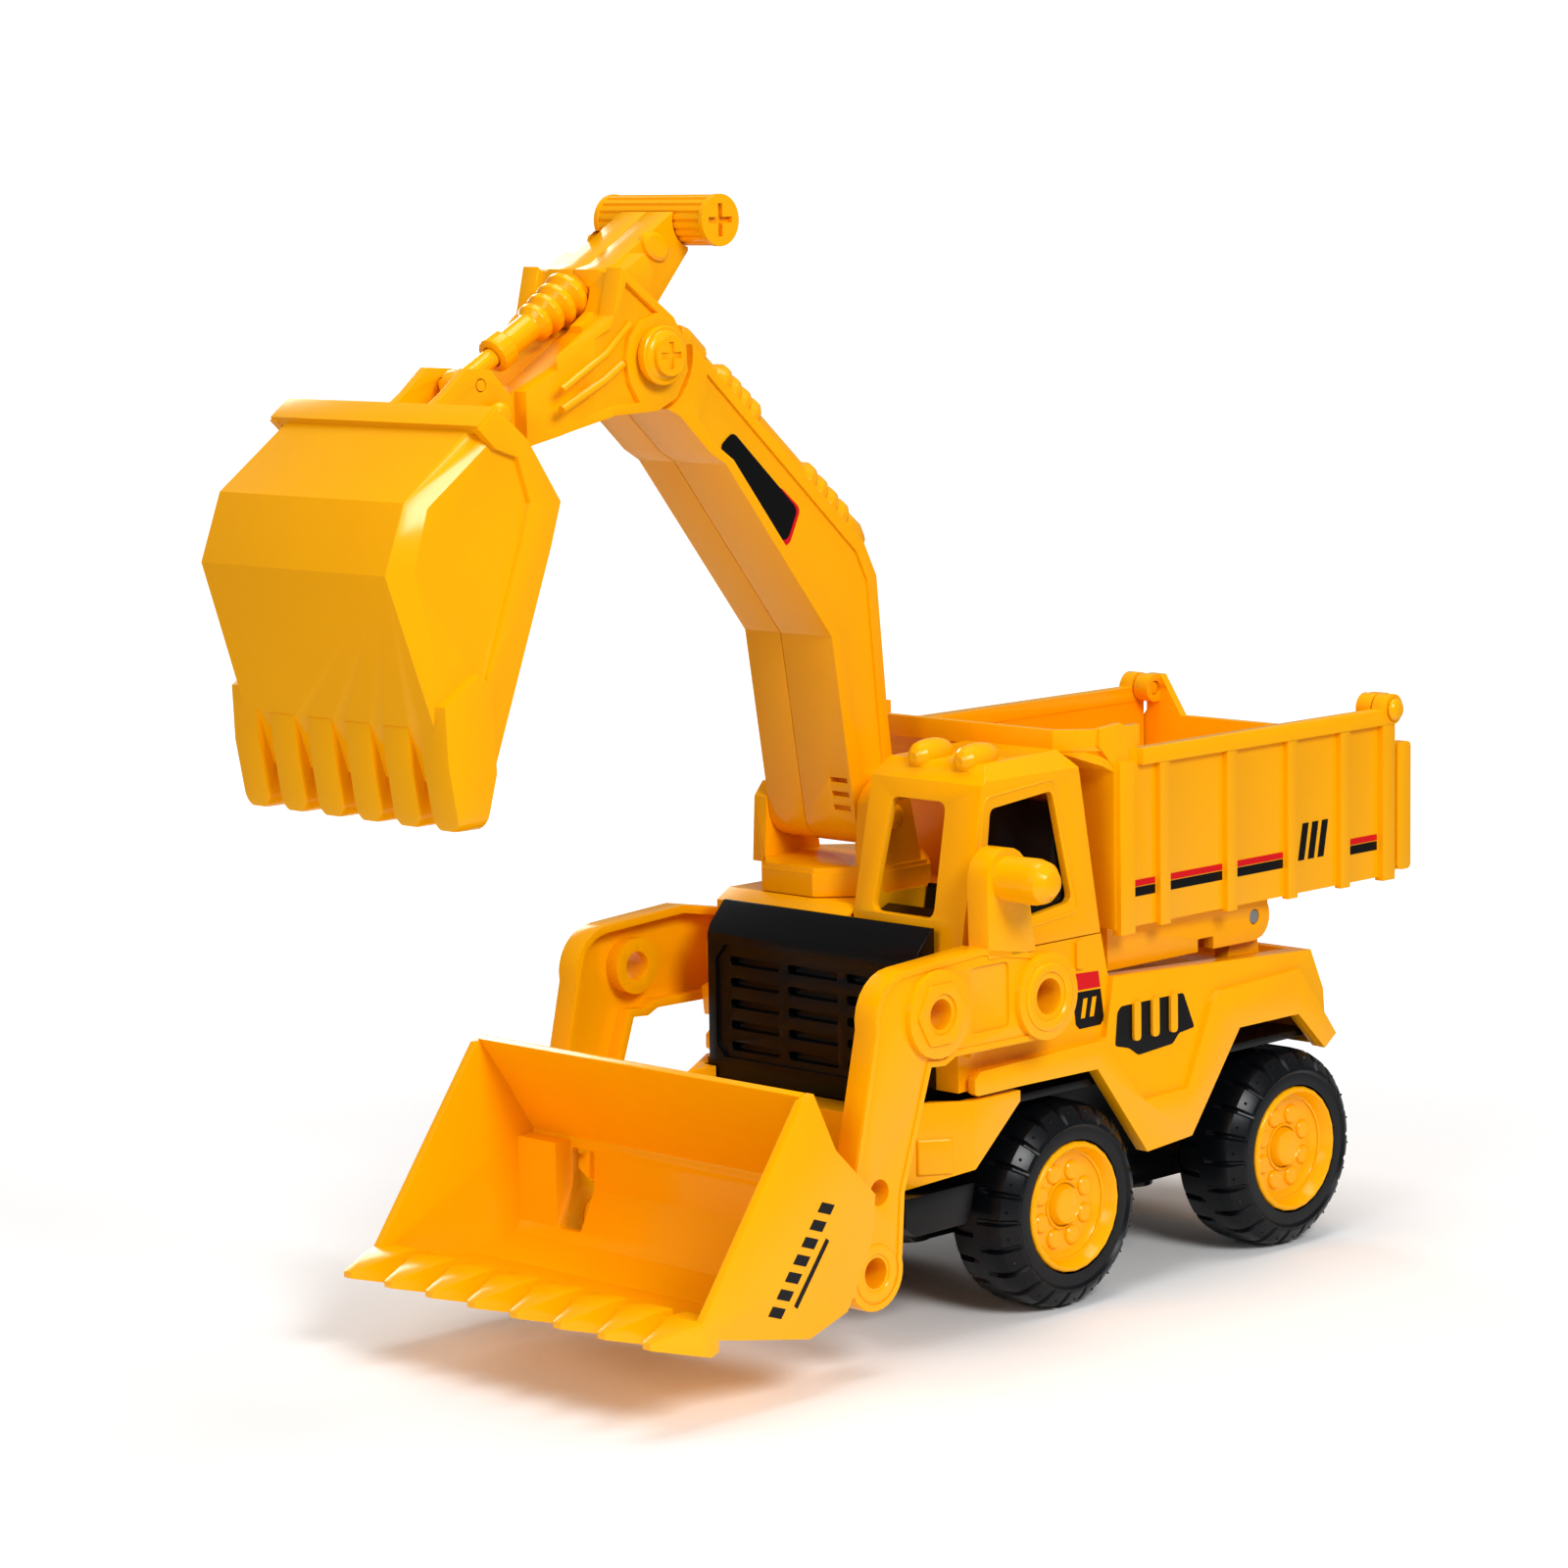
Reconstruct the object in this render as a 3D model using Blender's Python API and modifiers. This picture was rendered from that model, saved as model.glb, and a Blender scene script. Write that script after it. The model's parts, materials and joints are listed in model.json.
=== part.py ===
"""Toy construction truck with an excavator arm, a front loader and a dump bed.

Vehicle frame: +X is the vehicle's left, -Y is forward, +Z is up, and the front
axle lies at y = 0 over the ground at z = 0. Lengths are in millimetres until
they reach Blender, which works in metres. The root empty moves the vehicle so
that the bottom centre of its box is the origin.
"""
import math

import bmesh
import bpy
from mathutils import Matrix

MM = 0.001
GAP = 0.3
WALL = 2.3
OVERLAP = 0.4

# Offset of the vehicle frame from the origin
ROOT_X = -7.0
ROOT_Y = 27.4

# Wheels
TYRE_RADIUS = 29.3
RIM_RADIUS = 18.5
WHEELBASE = 98.6
WHEEL_INNER = 29.6
WHEEL_OUTER = 54.0
AXLE_RADIUS = 2.0

# Lower body
SKIRT_HALF = 50.0
FENDER_HALF = 52.0
HOOD_LEFT = 48.0
HOOD_RIGHT = -44.0
HOOD_FRONT = -42.0
DECK_TOP = 114.6
CAB_RIGHT = 6.8
CAB_SEAM = 104.0
WELL_TOP = 61.0
TUB_HALF = 27.3

# Pivot points as (y, z), and the arm's centre plane
ARM_X = -22.0
TURRET_X = -21.0
TURRET_Y = -13.0
BOOM_PIVOT = (-16.5, 136.5)
STICK_PIVOT = (-101.5, 269.2)
CURL_PIVOT = (-150.0, 255.5)
ROD_PIVOT = (-154.8, 263.5)
LIFT_PIVOT = (-21.0, 93.0)
ELBOW = (-64.5, 94.3)
TILT_PIVOT = (-89.0, 28.2)
DUMP_PIVOT = (92.0, 98.2)
GATE_PIVOT = (148.5, 154.3)

# Widths across the vehicle
BOOM_HALF = 17.0
TONGUE_HALF = 13.0
CHEEK_HALF = 19.0
STICK_HALF = 10.0
TIP_HALF = 5.7
EAR_INNER = 6.1
EAR_OUTER = 9.0
LOADER_HALF = 64.0
LOADER_PANEL = 61.3
ARM_INNER = 53.5
ARM_OUTER = 60.6
BED_HALF = 49.0

# Orientations of a flat outline: its own plane seen from the side, front or top
SIDE = Matrix(((0, 0, 1, 0), (1, 0, 0, 0), (0, 1, 0, 0), (0, 0, 0, 1)))
FRONT = Matrix(((1, 0, 0, 0), (0, 0, -1, 0), (0, 1, 0, 0), (0, 0, 0, 1)))
PLAN = Matrix.Identity(4)

# Parent empties: name, parent, and place in the vehicle frame
BODIES = (
    ("chassis", None, (0.0, 0.0, 0.0)),
    ("front_axle", "chassis", (0.0, 0.0, TYRE_RADIUS)),
    ("rear_axle", "chassis", (0.0, WHEELBASE, TYRE_RADIUS)),
    ("loader_arms", "chassis", (0.0, *LIFT_PIVOT)),
    ("loader_bucket", "loader_arms", (0.0, *TILT_PIVOT)),
    ("dump_bed", "chassis", (0.0, *DUMP_PIVOT)),
    ("tailgate", "dump_bed", (0.0, *GATE_PIVOT)),
    ("turret", "chassis", (TURRET_X, TURRET_Y, DECK_TOP)),
    ("boom", "turret", (ARM_X, *BOOM_PIVOT)),
    ("stick", "boom", (ARM_X, *STICK_PIVOT)),
    ("bucket_rod", "stick", (ARM_X, *ROD_PIVOT)),
    ("scoop", "stick", (ARM_X, *CURL_PIVOT)),
)

parts = None
cutters = None
empties = {}
places = {}
materials = {}


# ---------------------------------------------------------------- outlines

def shifted(point, dy, dz):
    """Return a point moved in the plane of the outline."""
    return (point[0] + dy, point[1] + dz)


def arc(centre, radius, start, stop, steps=6):
    """Return points on an arc, with angles in degrees."""
    points = []
    for index in range(steps + 1):
        angle = math.radians(start + (stop - start) * index / steps)
        points.append((centre[0] + radius * math.cos(angle), centre[1] + radius * math.sin(angle)))
    return points


def rectangle(low, high):
    """Return the outline of a rectangle from two opposite corners."""
    return [low, (high[0], low[1]), high, (low[0], high[1])]


def inset(outline, distance):
    """Return the outline with every edge moved inward by a distance."""
    count = len(outline)
    area = 0.0
    for index in range(count):
        a, b = outline[index], outline[(index + 1) % count]
        area += a[0] * b[1] - b[0] * a[1]
    turn = 1.0 if area > 0.0 else -1.0
    lines = []
    for index in range(count):
        a, b = outline[index], outline[(index + 1) % count]
        length = math.dist(a, b)
        normal = (-turn * (b[1] - a[1]) / length, turn * (b[0] - a[0]) / length)
        lines.append((normal, normal[0] * a[0] + normal[1] * a[1] + distance))
    points = []
    for index in range(count):
        (n1, d1), (n2, d2) = lines[index - 1], lines[index]
        cross = n1[0] * n2[1] - n1[1] * n2[0]
        points.append(((d1 * n2[1] - d2 * n1[1]) / cross, (n1[0] * d2 - n2[0] * d1) / cross))
    return points


def rounded(outline, radius, steps=3):
    """Return the outline with each corner replaced by an arc."""
    points = []
    count = len(outline)
    for index, corner in enumerate(outline):
        before, after = outline[index - 1], outline[(index + 1) % count]
        u = ((before[0] - corner[0]), (before[1] - corner[1]))
        v = ((after[0] - corner[0]), (after[1] - corner[1]))
        lu, lv = math.hypot(*u), math.hypot(*v)
        u = (u[0] / lu, u[1] / lu)
        v = (v[0] / lv, v[1] / lv)
        half = 0.5 * math.acos(max(-1.0, min(1.0, u[0] * v[0] + u[1] * v[1])))
        back = min(radius / math.tan(half), 0.45 * lu, 0.45 * lv)
        size = back * math.tan(half)
        mid = (u[0] + v[0], u[1] + v[1])
        length = math.hypot(*mid)
        reach = size / math.sin(half)
        centre = (corner[0] + mid[0] / length * reach, corner[1] + mid[1] / length * reach)
        first = math.atan2(corner[1] + u[1] * back - centre[1], corner[0] + u[0] * back - centre[0])
        last = math.atan2(corner[1] + v[1] * back - centre[1], corner[0] + v[0] * back - centre[0])
        sweep = (last - first + math.pi) % (2.0 * math.pi) - math.pi
        points += arc(centre, size, math.degrees(first), math.degrees(first + sweep), steps)
    return points


# ----------------------------------------------------------------- solids

def new_object(name, data, matrix):
    """Link an object to the scene at a place in the vehicle frame."""
    obj = bpy.data.objects.new(name, data)
    bpy.context.scene.collection.objects.link(obj)
    obj.matrix_basis = matrix
    return obj


def plate(name, outline, low, high, view=SIDE, holes=()):
    """Extrude a flat outline from low to high across its own plane."""
    curve = bpy.data.curves.new(name, "CURVE")
    curve.dimensions = "2D"
    curve.fill_mode = "BOTH"
    curve.extrude = 0.5 * abs(high - low) * MM
    for ring in (outline, *holes):
        spline = curve.splines.new("POLY")
        spline.points.add(len(ring) - 1)
        for point, (a, b) in zip(spline.points, ring):
            point.co = (a * MM, b * MM, 0.0, 1.0)
        spline.use_cyclic_u = True
    across = view.col[2].xyz
    across = across * (0.5 * (low + high) * MM * (1.0 if sum(across) > 0.0 else -1.0))
    guide = new_object(name + "_outline", curve, Matrix.Translation(across) @ view)
    bpy.context.view_layer.update()
    evaluated = guide.evaluated_get(bpy.context.evaluated_depsgraph_get())
    mesh = bpy.data.meshes.new_from_object(evaluated)
    weld(mesh)
    obj = new_object(name, mesh, guide.matrix_world.copy())
    bpy.data.objects.remove(guide)
    return obj


def weld(mesh):
    """Join the loose caps of an extruded curve to its sides."""
    work = bmesh.new()
    work.from_mesh(mesh)
    bmesh.ops.remove_doubles(work, verts=work.verts, dist=0.000001)
    bmesh.ops.recalc_face_normals(work, faces=work.faces)
    work.to_mesh(mesh)
    work.free()


def box(name, low, high):
    """Make a box from two opposite corners."""
    work = bmesh.new()
    bmesh.ops.create_cube(work, size=1.0)
    size = [abs(b - a) * MM for a, b in zip(low, high)]
    centre = [0.5 * (a + b) * MM for a, b in zip(low, high)]
    bmesh.ops.scale(work, vec=size, verts=work.verts)
    mesh = bpy.data.meshes.new(name)
    work.to_mesh(mesh)
    work.free()
    return new_object(name, mesh, Matrix.Translation(centre))


def rod(name, radius, low, high, centre, axis="X", steps=24):
    """Make a cylinder along X or Z; centre is (y, z) for X and (x, y) for Z."""
    work = bmesh.new()
    length = abs(high - low) * MM
    bmesh.ops.create_cone(work, cap_ends=True, segments=steps, radius1=radius * MM,
                          radius2=radius * MM, depth=length)
    mesh = bpy.data.meshes.new(name)
    work.to_mesh(mesh)
    work.free()
    middle = 0.5 * (low + high)
    if axis == "X":
        place = Matrix.Translation((middle * MM, centre[0] * MM, centre[1] * MM))
        return smooth(new_object(name, mesh, place @ Matrix.Rotation(0.5 * math.pi, 4, "Y")))
    place = Matrix.Translation((centre[0] * MM, centre[1] * MM, middle * MM))
    return smooth(new_object(name, mesh, place))


def turned(name, profile, place, steps=32, closed=False):
    """Spin a profile of (radius, height) points about the local Z axis."""
    mesh = bpy.data.meshes.new(name)
    points = [(radius * MM, 0.0, height * MM) for radius, height in profile]
    edges = [(index, index + 1) for index in range(len(points) - 1)]
    if closed:
        edges.append((len(points) - 1, 0))
    mesh.from_pydata(points, edges, [])
    obj = new_object(name, mesh, place)
    screw = obj.modifiers.new("turn", "SCREW")
    screw.axis = "Z"
    screw.angle = 2.0 * math.pi
    screw.steps = steps
    screw.render_steps = steps
    screw.use_merge_vertices = True
    screw.merge_threshold = 0.00001
    screw.use_smooth_shade = True
    return obj


def across_x(x, centre, side=1.0):
    """Return a place whose local Z points along +X or -X."""
    spot = Matrix.Translation((x * MM, centre[0] * MM, centre[1] * MM))
    return spot @ Matrix.Rotation(side * 0.5 * math.pi, 4, "Y")


def smooth(obj, angle=35.0):
    """Shade round faces smooth and keep the sharp edges."""
    obj.data.shade_smooth()
    obj.data.set_sharp_from_angle(angle=math.radians(angle))
    return obj


def tool(obj):
    """Put an object with the cutters, hidden from renders."""
    bpy.context.scene.collection.objects.unlink(obj)
    cutters.objects.link(obj)
    obj.hide_render = True
    obj.display_type = "WIRE"
    obj.parent = empties["chassis"]
    return obj


def combine(target, others, operation):
    """Stack one Boolean modifier for each of the other objects."""
    for other in others:
        modifier = target.modifiers.new(operation.lower() + "_" + other.name, "BOOLEAN")
        modifier.operation = operation
        modifier.object = tool(other)
    return target


def join(target, *others):
    """Unite other solids with the target."""
    return combine(target, others, "UNION")


def cut(target, *others):
    """Cut other solids out of the target."""
    return combine(target, others, "DIFFERENCE")


def keep(target, *others):
    """Keep what the target shares with the other solids."""
    return combine(target, others, "INTERSECT")


def piece(obj, name, body, material):
    """Name a finished sub-part, give it its material and parent it to its body."""
    obj.name = name
    obj.data.name = name
    bpy.context.scene.collection.objects.unlink(obj)
    parts.objects.link(obj)
    obj.data.materials.clear()
    obj.data.materials.append(materials[material])
    matrix = obj.matrix_basis.copy()
    obj.parent = empties[body]
    obj.matrix_basis = Matrix.Translation([-value * MM for value in places[body]]) @ matrix
    return obj


def span(side, near, far):
    """Return an X range on one side of the vehicle, lowest value first."""
    low, high = side * near, side * far
    return (min(low, high), max(low, high))


# -------------------------------------------------------------- materials

def add_material(name, color, roughness, metallic=0.0):
    """Make a plain Principled material from linear colour values."""
    material = bpy.data.materials.new(name)
    material.use_nodes = True
    shader = material.node_tree.nodes["Principled BSDF"]
    shader.inputs["Base Color"].default_value = (*color, 1.0)
    shader.inputs["Roughness"].default_value = roughness
    shader.inputs["Metallic"].default_value = metallic
    materials[name] = material


def make_materials():
    """Make the four materials of the toy."""
    add_material("yellow_plastic", (0.91, 0.42, 0.01), 0.25)
    add_material("black_plastic", (0.012, 0.013, 0.016), 0.3)
    add_material("black_vinyl", (0.011, 0.012, 0.014), 0.35)
    add_material("plated_steel", (0.55, 0.55, 0.56), 0.3, 1.0)


# ----------------------------------------------------------------- wheels

def make_wheelset(body, label, y):
    """Make one steel axle with a rim and a tyre at each end."""
    centre = (y, TYRE_RADIUS)
    axle = rod("axle", AXLE_RADIUS, -46.0, 46.0, centre, steps=16)
    piece(axle, label + "_axle_rod", body, "plated_steel")
    width = WHEEL_OUTER - WHEEL_INNER
    bore = AXLE_RADIUS + GAP
    rim_profile = [
        (0.0, width - 3.2), (5.2, width - 3.2), (6.0, width - 5.6), (13.4, width - 5.6),
        (15.4, width - 4.2), (17.2, width), (RIM_RADIUS, width - 0.8), (RIM_RADIUS, 1.4),
        (RIM_RADIUS - 2.2, 1.4), (RIM_RADIUS - 3.2, width - 8.4), (5.0, width - 8.4),
        (4.6, 3.0), (bore, 3.0), (bore, width - 7.2), (0.0, width - 7.2),
    ]
    bead = RIM_RADIUS + GAP
    tyre_profile = [
        (bead, width - 0.9), (TYRE_RADIUS - 6.4, width - 0.2), (TYRE_RADIUS - 4.6, width - 1.2),
        (TYRE_RADIUS - 1.3, width - 6.2), (TYRE_RADIUS, width - 9.0), (TYRE_RADIUS, 6.6),
        (TYRE_RADIUS - 1.2, 3.0), (TYRE_RADIUS - 4.6, 0.4), (bead, 0.0),
    ]
    for side, word in ((1.0, "left"), (-1.0, "right")):
        rim = turned("rim", rim_profile, across_x(side * WHEEL_INNER, centre, side), 24)
        piece(rim, label + "_rim_" + word, body, "yellow_plastic")
        tyre = turned("tyre", tyre_profile, across_x(side * WHEEL_INNER, centre, side), 36, True)
        piece(tyre, label + "_tyre_" + word, body, "black_vinyl")


# ---------------------------------------------------------------- chassis

SCREW_SPOTS = ((16.0, -30.0), (-16.0, -30.0), (19.0, 63.0), (-19.0, 63.0))
TUB_FLOOR = 24.2


def make_chassis_base():
    """Make the black tub that carries the axles, with the wheel well roofs."""
    outer = rounded([(-49.8, 61.0), (-49.8, 34.0), (-38.0, 22.0), (104.0, 22.0),
                     (112.0, 30.0), (112.0, 61.0)], 3.0, 2)
    inner = [(-47.6, 70.0), (-47.6, 34.9), (-37.0, TUB_FLOOR), (103.1, TUB_FLOOR),
             (109.8, 30.9), (109.8, 70.0)]
    base = plate("base", outer, -TUB_HALF, TUB_HALF)
    wells = plate("wells", rectangle((-39.0, WELL_TOP - 0.4), (112.0, WELL_TOP + 1.8)), -46.8, 46.8)
    cut(wells, box("tub_mouth", (-TUB_HALF + 2.0, -38.0, 50.0), (TUB_HALF - 2.0, 109.0, 70.0)))
    nose = plate("nose", [(-61.5, 41.0), (-61.5, 33.0), (-58.0, 30.0), (-36.0, 30.0),
                          (-33.5, 41.0)], -46.0, 46.0)
    join(base, wells, nose)
    cut(base, plate("tub_hollow", inner, -TUB_HALF + 2.2, TUB_HALF - 2.2))
    for index, (x, y) in enumerate(SCREW_SPOTS):
        join(base, rod("screw_boss_%d" % index, 7.4, 20.4, 23.4, (x, y), "Z", 20))
    for index, (x, y) in enumerate(SCREW_SPOTS):
        cut(base, rod("head_seat_%d" % index, 3.0, 10.0, 22.3, (x, y), "Z", 16))
        cut(base, rod("screw_hole_%d" % index, 1.5, 10.0, 30.0, (x, y), "Z", 12))
    for index, y in enumerate((0.0, WHEELBASE)):
        cut(base, rod("axle_hole_%d" % index, AXLE_RADIUS + 0.35, -60.0, 60.0, (y, TYRE_RADIUS),
                      "X", 16))
    piece(base, "chassis_base", "chassis", "black_plastic")


def make_screws():
    """Make the four screws that hold the tub to the body."""
    for index, (x, y) in enumerate(SCREW_SPOTS):
        profile = [(0.0, 36.0), (1.0, 35.0), (1.1, 22.2), (1.1, 21.9), (2.7, 21.9), (2.7, 21.0),
                   (1.6, 20.6), (0.0, 20.6)]
        place = Matrix.Translation((x * MM, y * MM, 0.0))
        screw = turned("screw", profile, place, 12)
        piece(screw, "base_screw_%d" % (index + 1), "chassis", "plated_steel")


REAR_ARCH = [(114.0, 57.2), (102.0, 68.9), (74.7, 68.9), (52.8, 40.7)]
FRONT_ARCH = [(33.0, 39.3), (11.5, 66.4), (-20.8, 66.7)]


def make_body_shell():
    """Make the yellow lower body: hood, side skirts, arches and rear deck."""
    lower = [(-38.2, 67.2), (-38.2, 72.2), (-36.0, 73.4), (13.7, 74.2), (17.6, 74.4), (20.8, 91.1),
             (110.3, 86.8), (116.2, 74.3), (117.4, 60.6)] + REAR_ARCH + FRONT_ARCH
    hood_left = [(HOOD_FRONT, 67.4), (HOOD_FRONT, CAB_SEAM - GAP), (17.9, CAB_SEAM - GAP),
                 (21.2, 90.0), (24.0, 86.0), (24.0, 68.4), (-20.0, 68.4)]
    hood_right = [(HOOD_FRONT, 67.4), (HOOD_FRONT, 111.6), (-37.0, DECK_TOP), (16.0, DECK_TOP),
                  (21.2, 90.0), (24.0, 86.0), (24.0, 68.4), (-20.0, 68.4)]
    body = plate("lower_body", lower, -SKIRT_HALF, SKIRT_HALF)
    join(body,
         plate("hood_left", hood_left, 6.0, HOOD_LEFT),
         plate("hood_right", hood_right, HOOD_RIGHT, 6.5))
    cut_body_hollow(body)
    add_fender_bands(body)
    add_body_posts(body)
    add_dump_towers(body)
    piece(body, "body_shell", "chassis", "yellow_plastic")


def cut_body_hollow(body):
    """Hollow the body from below and sink the rear deck for the dump bed."""
    inside = SKIRT_HALF - WALL
    rear = [(18.0, 30.0), (18.0, 71.6), (22.6, 76.0), (22.6, 81.6), (112.0, 81.6), (114.6, 74.0),
            (114.6, 30.0)]
    front = [(-35.8, 30.0), (-35.8, 71.0), (12.0, 71.6), (18.4, 71.6), (18.4, 30.0)]
    cut(body,
        plate("rear_hollow", rear, -inside, inside),
        plate("front_hollow", front, -inside, inside),
        box("middle_hollow", (HOOD_RIGHT + WALL, 12.0, 30.0), (HOOD_LEFT - WALL, 24.0, 79.0)),
        box("hood_hollow_left", (5.0, HOOD_FRONT + WALL, 60.0), (HOOD_LEFT - WALL, 15.0, 101.4)),
        box("hood_hollow_right", (HOOD_RIGHT + WALL, HOOD_FRONT + WALL, 60.0),
            (6.8, 13.6, DECK_TOP - WALL)),
        box("deck_recess", (-44.0, 24.0, 84.0), (44.0, 106.0, 120.0)))


def add_fender_bands(body):
    """Add the raised bands around both wheel arches on each side."""
    band = [(-39.6, 67.4), (-39.6, 71.2), (-37.2, 73.2), (13.7, 74.2), (31.9, 54.3), (51.2, 54.7),
            (62.2, 78.4), (66.0, 80.9), (102.7, 82.2), (119.9, 60.6), (114.5, 57.0),
            (102.0, 68.9), (74.7, 68.9), (52.8, 40.7), (33.0, 39.3), (11.5, 66.4),
            (-20.8, 66.7), (-38.4, 66.6)]
    lug = [(-41.5, 85.6), (-32.0, 88.4), (-29.0, 84.4), (-40.5, 77.4)]
    for side, word in ((1.0, "left"), (-1.0, "right")):
        hood = HOOD_LEFT if side > 0.0 else -HOOD_RIGHT
        join(body,
             plate("band_" + word, band, *span(side, SKIRT_HALF - OVERLAP, FENDER_HALF)),
             plate("lug_" + word, lug, *span(side, hood - OVERLAP, FENDER_HALF - 0.5)))


def add_body_posts(body):
    """Add the screw posts, the loader arm bushes and the turret hole."""
    for index, (x, y) in enumerate(SCREW_SPOTS):
        top = DECK_TOP if x < 0.0 else CAB_SEAM
        if y > 0.0:
            top = 84.0
        post = rod("post_%d" % index, 3.4, TUB_FLOOR + GAP, top - 1.6, (x, y), "Z", 16)
        cut(post, rod("post_hole_%d" % index, 1.4, 10.0, 38.0, (x, y), "Z", 12))
        join(body, post)
    for side, hood in ((1.0, HOOD_LEFT), (-1.0, -HOOD_RIGHT)):
        low, high = span(side, hood - WALL + 0.3, FENDER_HALF)
        join(body, rod("bush%+d" % side, 9.8, low, high, LIFT_PIVOT, "X", 28))
        low, high = span(side, 30.0, 60.0)
        cut(body, rod("bush_bore%+d" % side, 7.3, low, high, LIFT_PIVOT, "X", 24))
    cut(body, rod("turret_bore", 6.4, 90.0, 130.0, (TURRET_X, TURRET_Y), "Z", 24))


def add_dump_towers(body):
    """Add the two bearing towers of the dump bed on the deck."""
    y, z = DUMP_PIVOT
    outline = [(y - 8.0, 82.5), (y + 8.0, 82.5), (y + 5.0, z)] + arc((y, z), 5.0, 20.0, 160.0, 6)
    outline.append((y - 5.0, z))
    for side, word in ((1.0, "left"), (-1.0, "right")):
        tower = plate("tower_" + word, outline, *span(side, 34.5, 39.4))
        cut(tower, rod("tower_bore_" + word, 2.3, *span(side, 30.0, 45.0), DUMP_PIVOT, "X", 16))
        join(body, tower)


def make_grille():
    """Make the black grille with its recessed panel and slots."""
    outline = [(-50.0, 61.5), (-50.0, 103.6), (-48.8, 106.2), (-43.2, 112.2), (-42.3, 112.2),
               (-42.3, 61.5)]
    grille = plate("grille", outline, -40.0, 40.0)
    panel = [(-34.0, 68.5), (34.0, 68.5), (37.0, 72.0), (37.0, 96.5), (33.0, 101.0),
             (-33.0, 101.0), (-37.0, 96.5), (-37.0, 72.0)]
    cut(grille, plate("grille_panel", panel, -52.0, -48.8, FRONT))
    for column in range(3):
        for row in range(5):
            x = 22.6 * (column - 1)
            z = 71.8 + 6.1 * row
            slot = rounded(rectangle((x - 9.6, z - 1.3), (x + 9.6, z + 1.3)), 0.9, 2)
            cut(grille, plate("slot_%d_%d" % (column, row), slot, -52.0, -45.6, FRONT))
    piece(grille, "grille", "chassis", "black_plastic")


def make_front_bumper():
    """Make the bumper beam with its chamfered corner blocks."""
    plan = [(-FENDER_HALF, -21.0), (-FENDER_HALF, -39.6), (-37.5, -61.5), (37.5, -61.5),
            (FENDER_HALF, -39.6), (FENDER_HALF, -21.0), (48.4, -21.0), (48.4, -42.5),
            (42.6, -48.0), (42.6, -50.4), (-42.6, -50.4), (-42.6, -48.0), (-48.4, -42.5),
            (-48.4, -21.0)]
    bumper = plate("bumper", plan, 41.4, 65.6, PLAN)
    under = [(-70.0, 30.0), (-62.0, 41.8), (-56.0, 41.8), (-39.6, 46.4), (-20.0, 63.4),
             (-10.0, 63.4), (-10.0, 30.0)]
    cut(bumper,
        plate("bumper_under", under, -60.0, 60.0),
        box("beam_top", (-37.0, -70.0, 62.0), (37.0, -49.0, 70.0)))
    piece(bumper, "front_bumper", "chassis", "yellow_plastic")


# -------------------------------------------------------------------- cab

CAB_SIDE = [(-40.2, CAB_SEAM), (-39.0, 113.5), (-30.8, 150.5), (-26.5, 155.6), (4.4, 156.6),
            (9.0, 151.6), (17.8, CAB_SEAM)]
CAB_FRONT = [(CAB_RIGHT, CAB_SEAM), (CAB_RIGHT, 150.5), (10.6, 156.8), (43.8, 156.8),
             (HOOD_LEFT, 151.6), (HOOD_LEFT, CAB_SEAM)]


def make_cab_shell():
    """Make the open cab with its windscreen and side windows."""
    cab = plate("cab", CAB_SIDE, CAB_RIGHT, HOOD_LEFT)
    keep(cab, plate("cab_front", CAB_FRONT, -60.0, 40.0, FRONT))
    hollow_side = inset(CAB_SIDE, WALL)
    hollow_side[0] = (hollow_side[0][0], 95.0)
    hollow_side[-1] = (hollow_side[-1][0], 95.0)
    hollow_front = inset(CAB_FRONT, WALL)
    hollow_front[0] = (hollow_front[0][0], 95.0)
    hollow_front[-1] = (hollow_front[-1][0], 95.0)
    hollow = plate("cab_hollow", hollow_side, CAB_RIGHT, HOOD_LEFT)
    keep(hollow, plate("cab_hollow_front", hollow_front, -60.0, 40.0, FRONT))
    windscreen = rounded([(13.4, 113.8), (36.6, 113.8), (35.4, 145.2), (15.4, 145.2)], 2.5, 3)
    door = rounded([(-27.8, 143.9), (-2.4, 146.2), (5.7, 114.3), (-32.1, 109.6)], 2.0, 3)
    far_window = rounded([(-26.0, 142.0), (-1.0, 144.5), (6.0, 117.0), (-30.0, 117.0)], 2.0, 3)
    cut(cab, hollow,
        plate("windscreen", windscreen, -60.0, -24.0, FRONT),
        plate("door_window", door, 40.0, 60.0),
        plate("far_window", far_window, 0.0, 12.0))
    for index, x in enumerate((21.0, 38.0)):
        lamp = [(-28.4, 153.6), (-26.4, 157.4), (-22.6, 158.2), (-17.0, 157.0), (-11.0, 155.4)]
        join(cab, plate("lamp_%d" % index, lamp, x - 2.8, x + 2.8))
    piece(cab, "cab_shell", "chassis", "yellow_plastic")


def make_cab_interior():
    """Make the black seat and floor inside the cab."""
    outline = [(-34.0, 104.5), (-34.0, 112.0), (-28.0, 114.5), (-20.0, 107.5), (-14.0, 107.5),
               (-12.0, 118.0), (-1.0, 116.5), (2.6, 142.0), (6.0, 142.0), (9.4, 118.0),
               (11.4, 104.5)]
    seat = plate("seat", outline, 9.6, 45.2)
    piece(seat, "cab_interior", "chassis", "black_plastic")


# ----------------------------------------------------------------- loader

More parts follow.
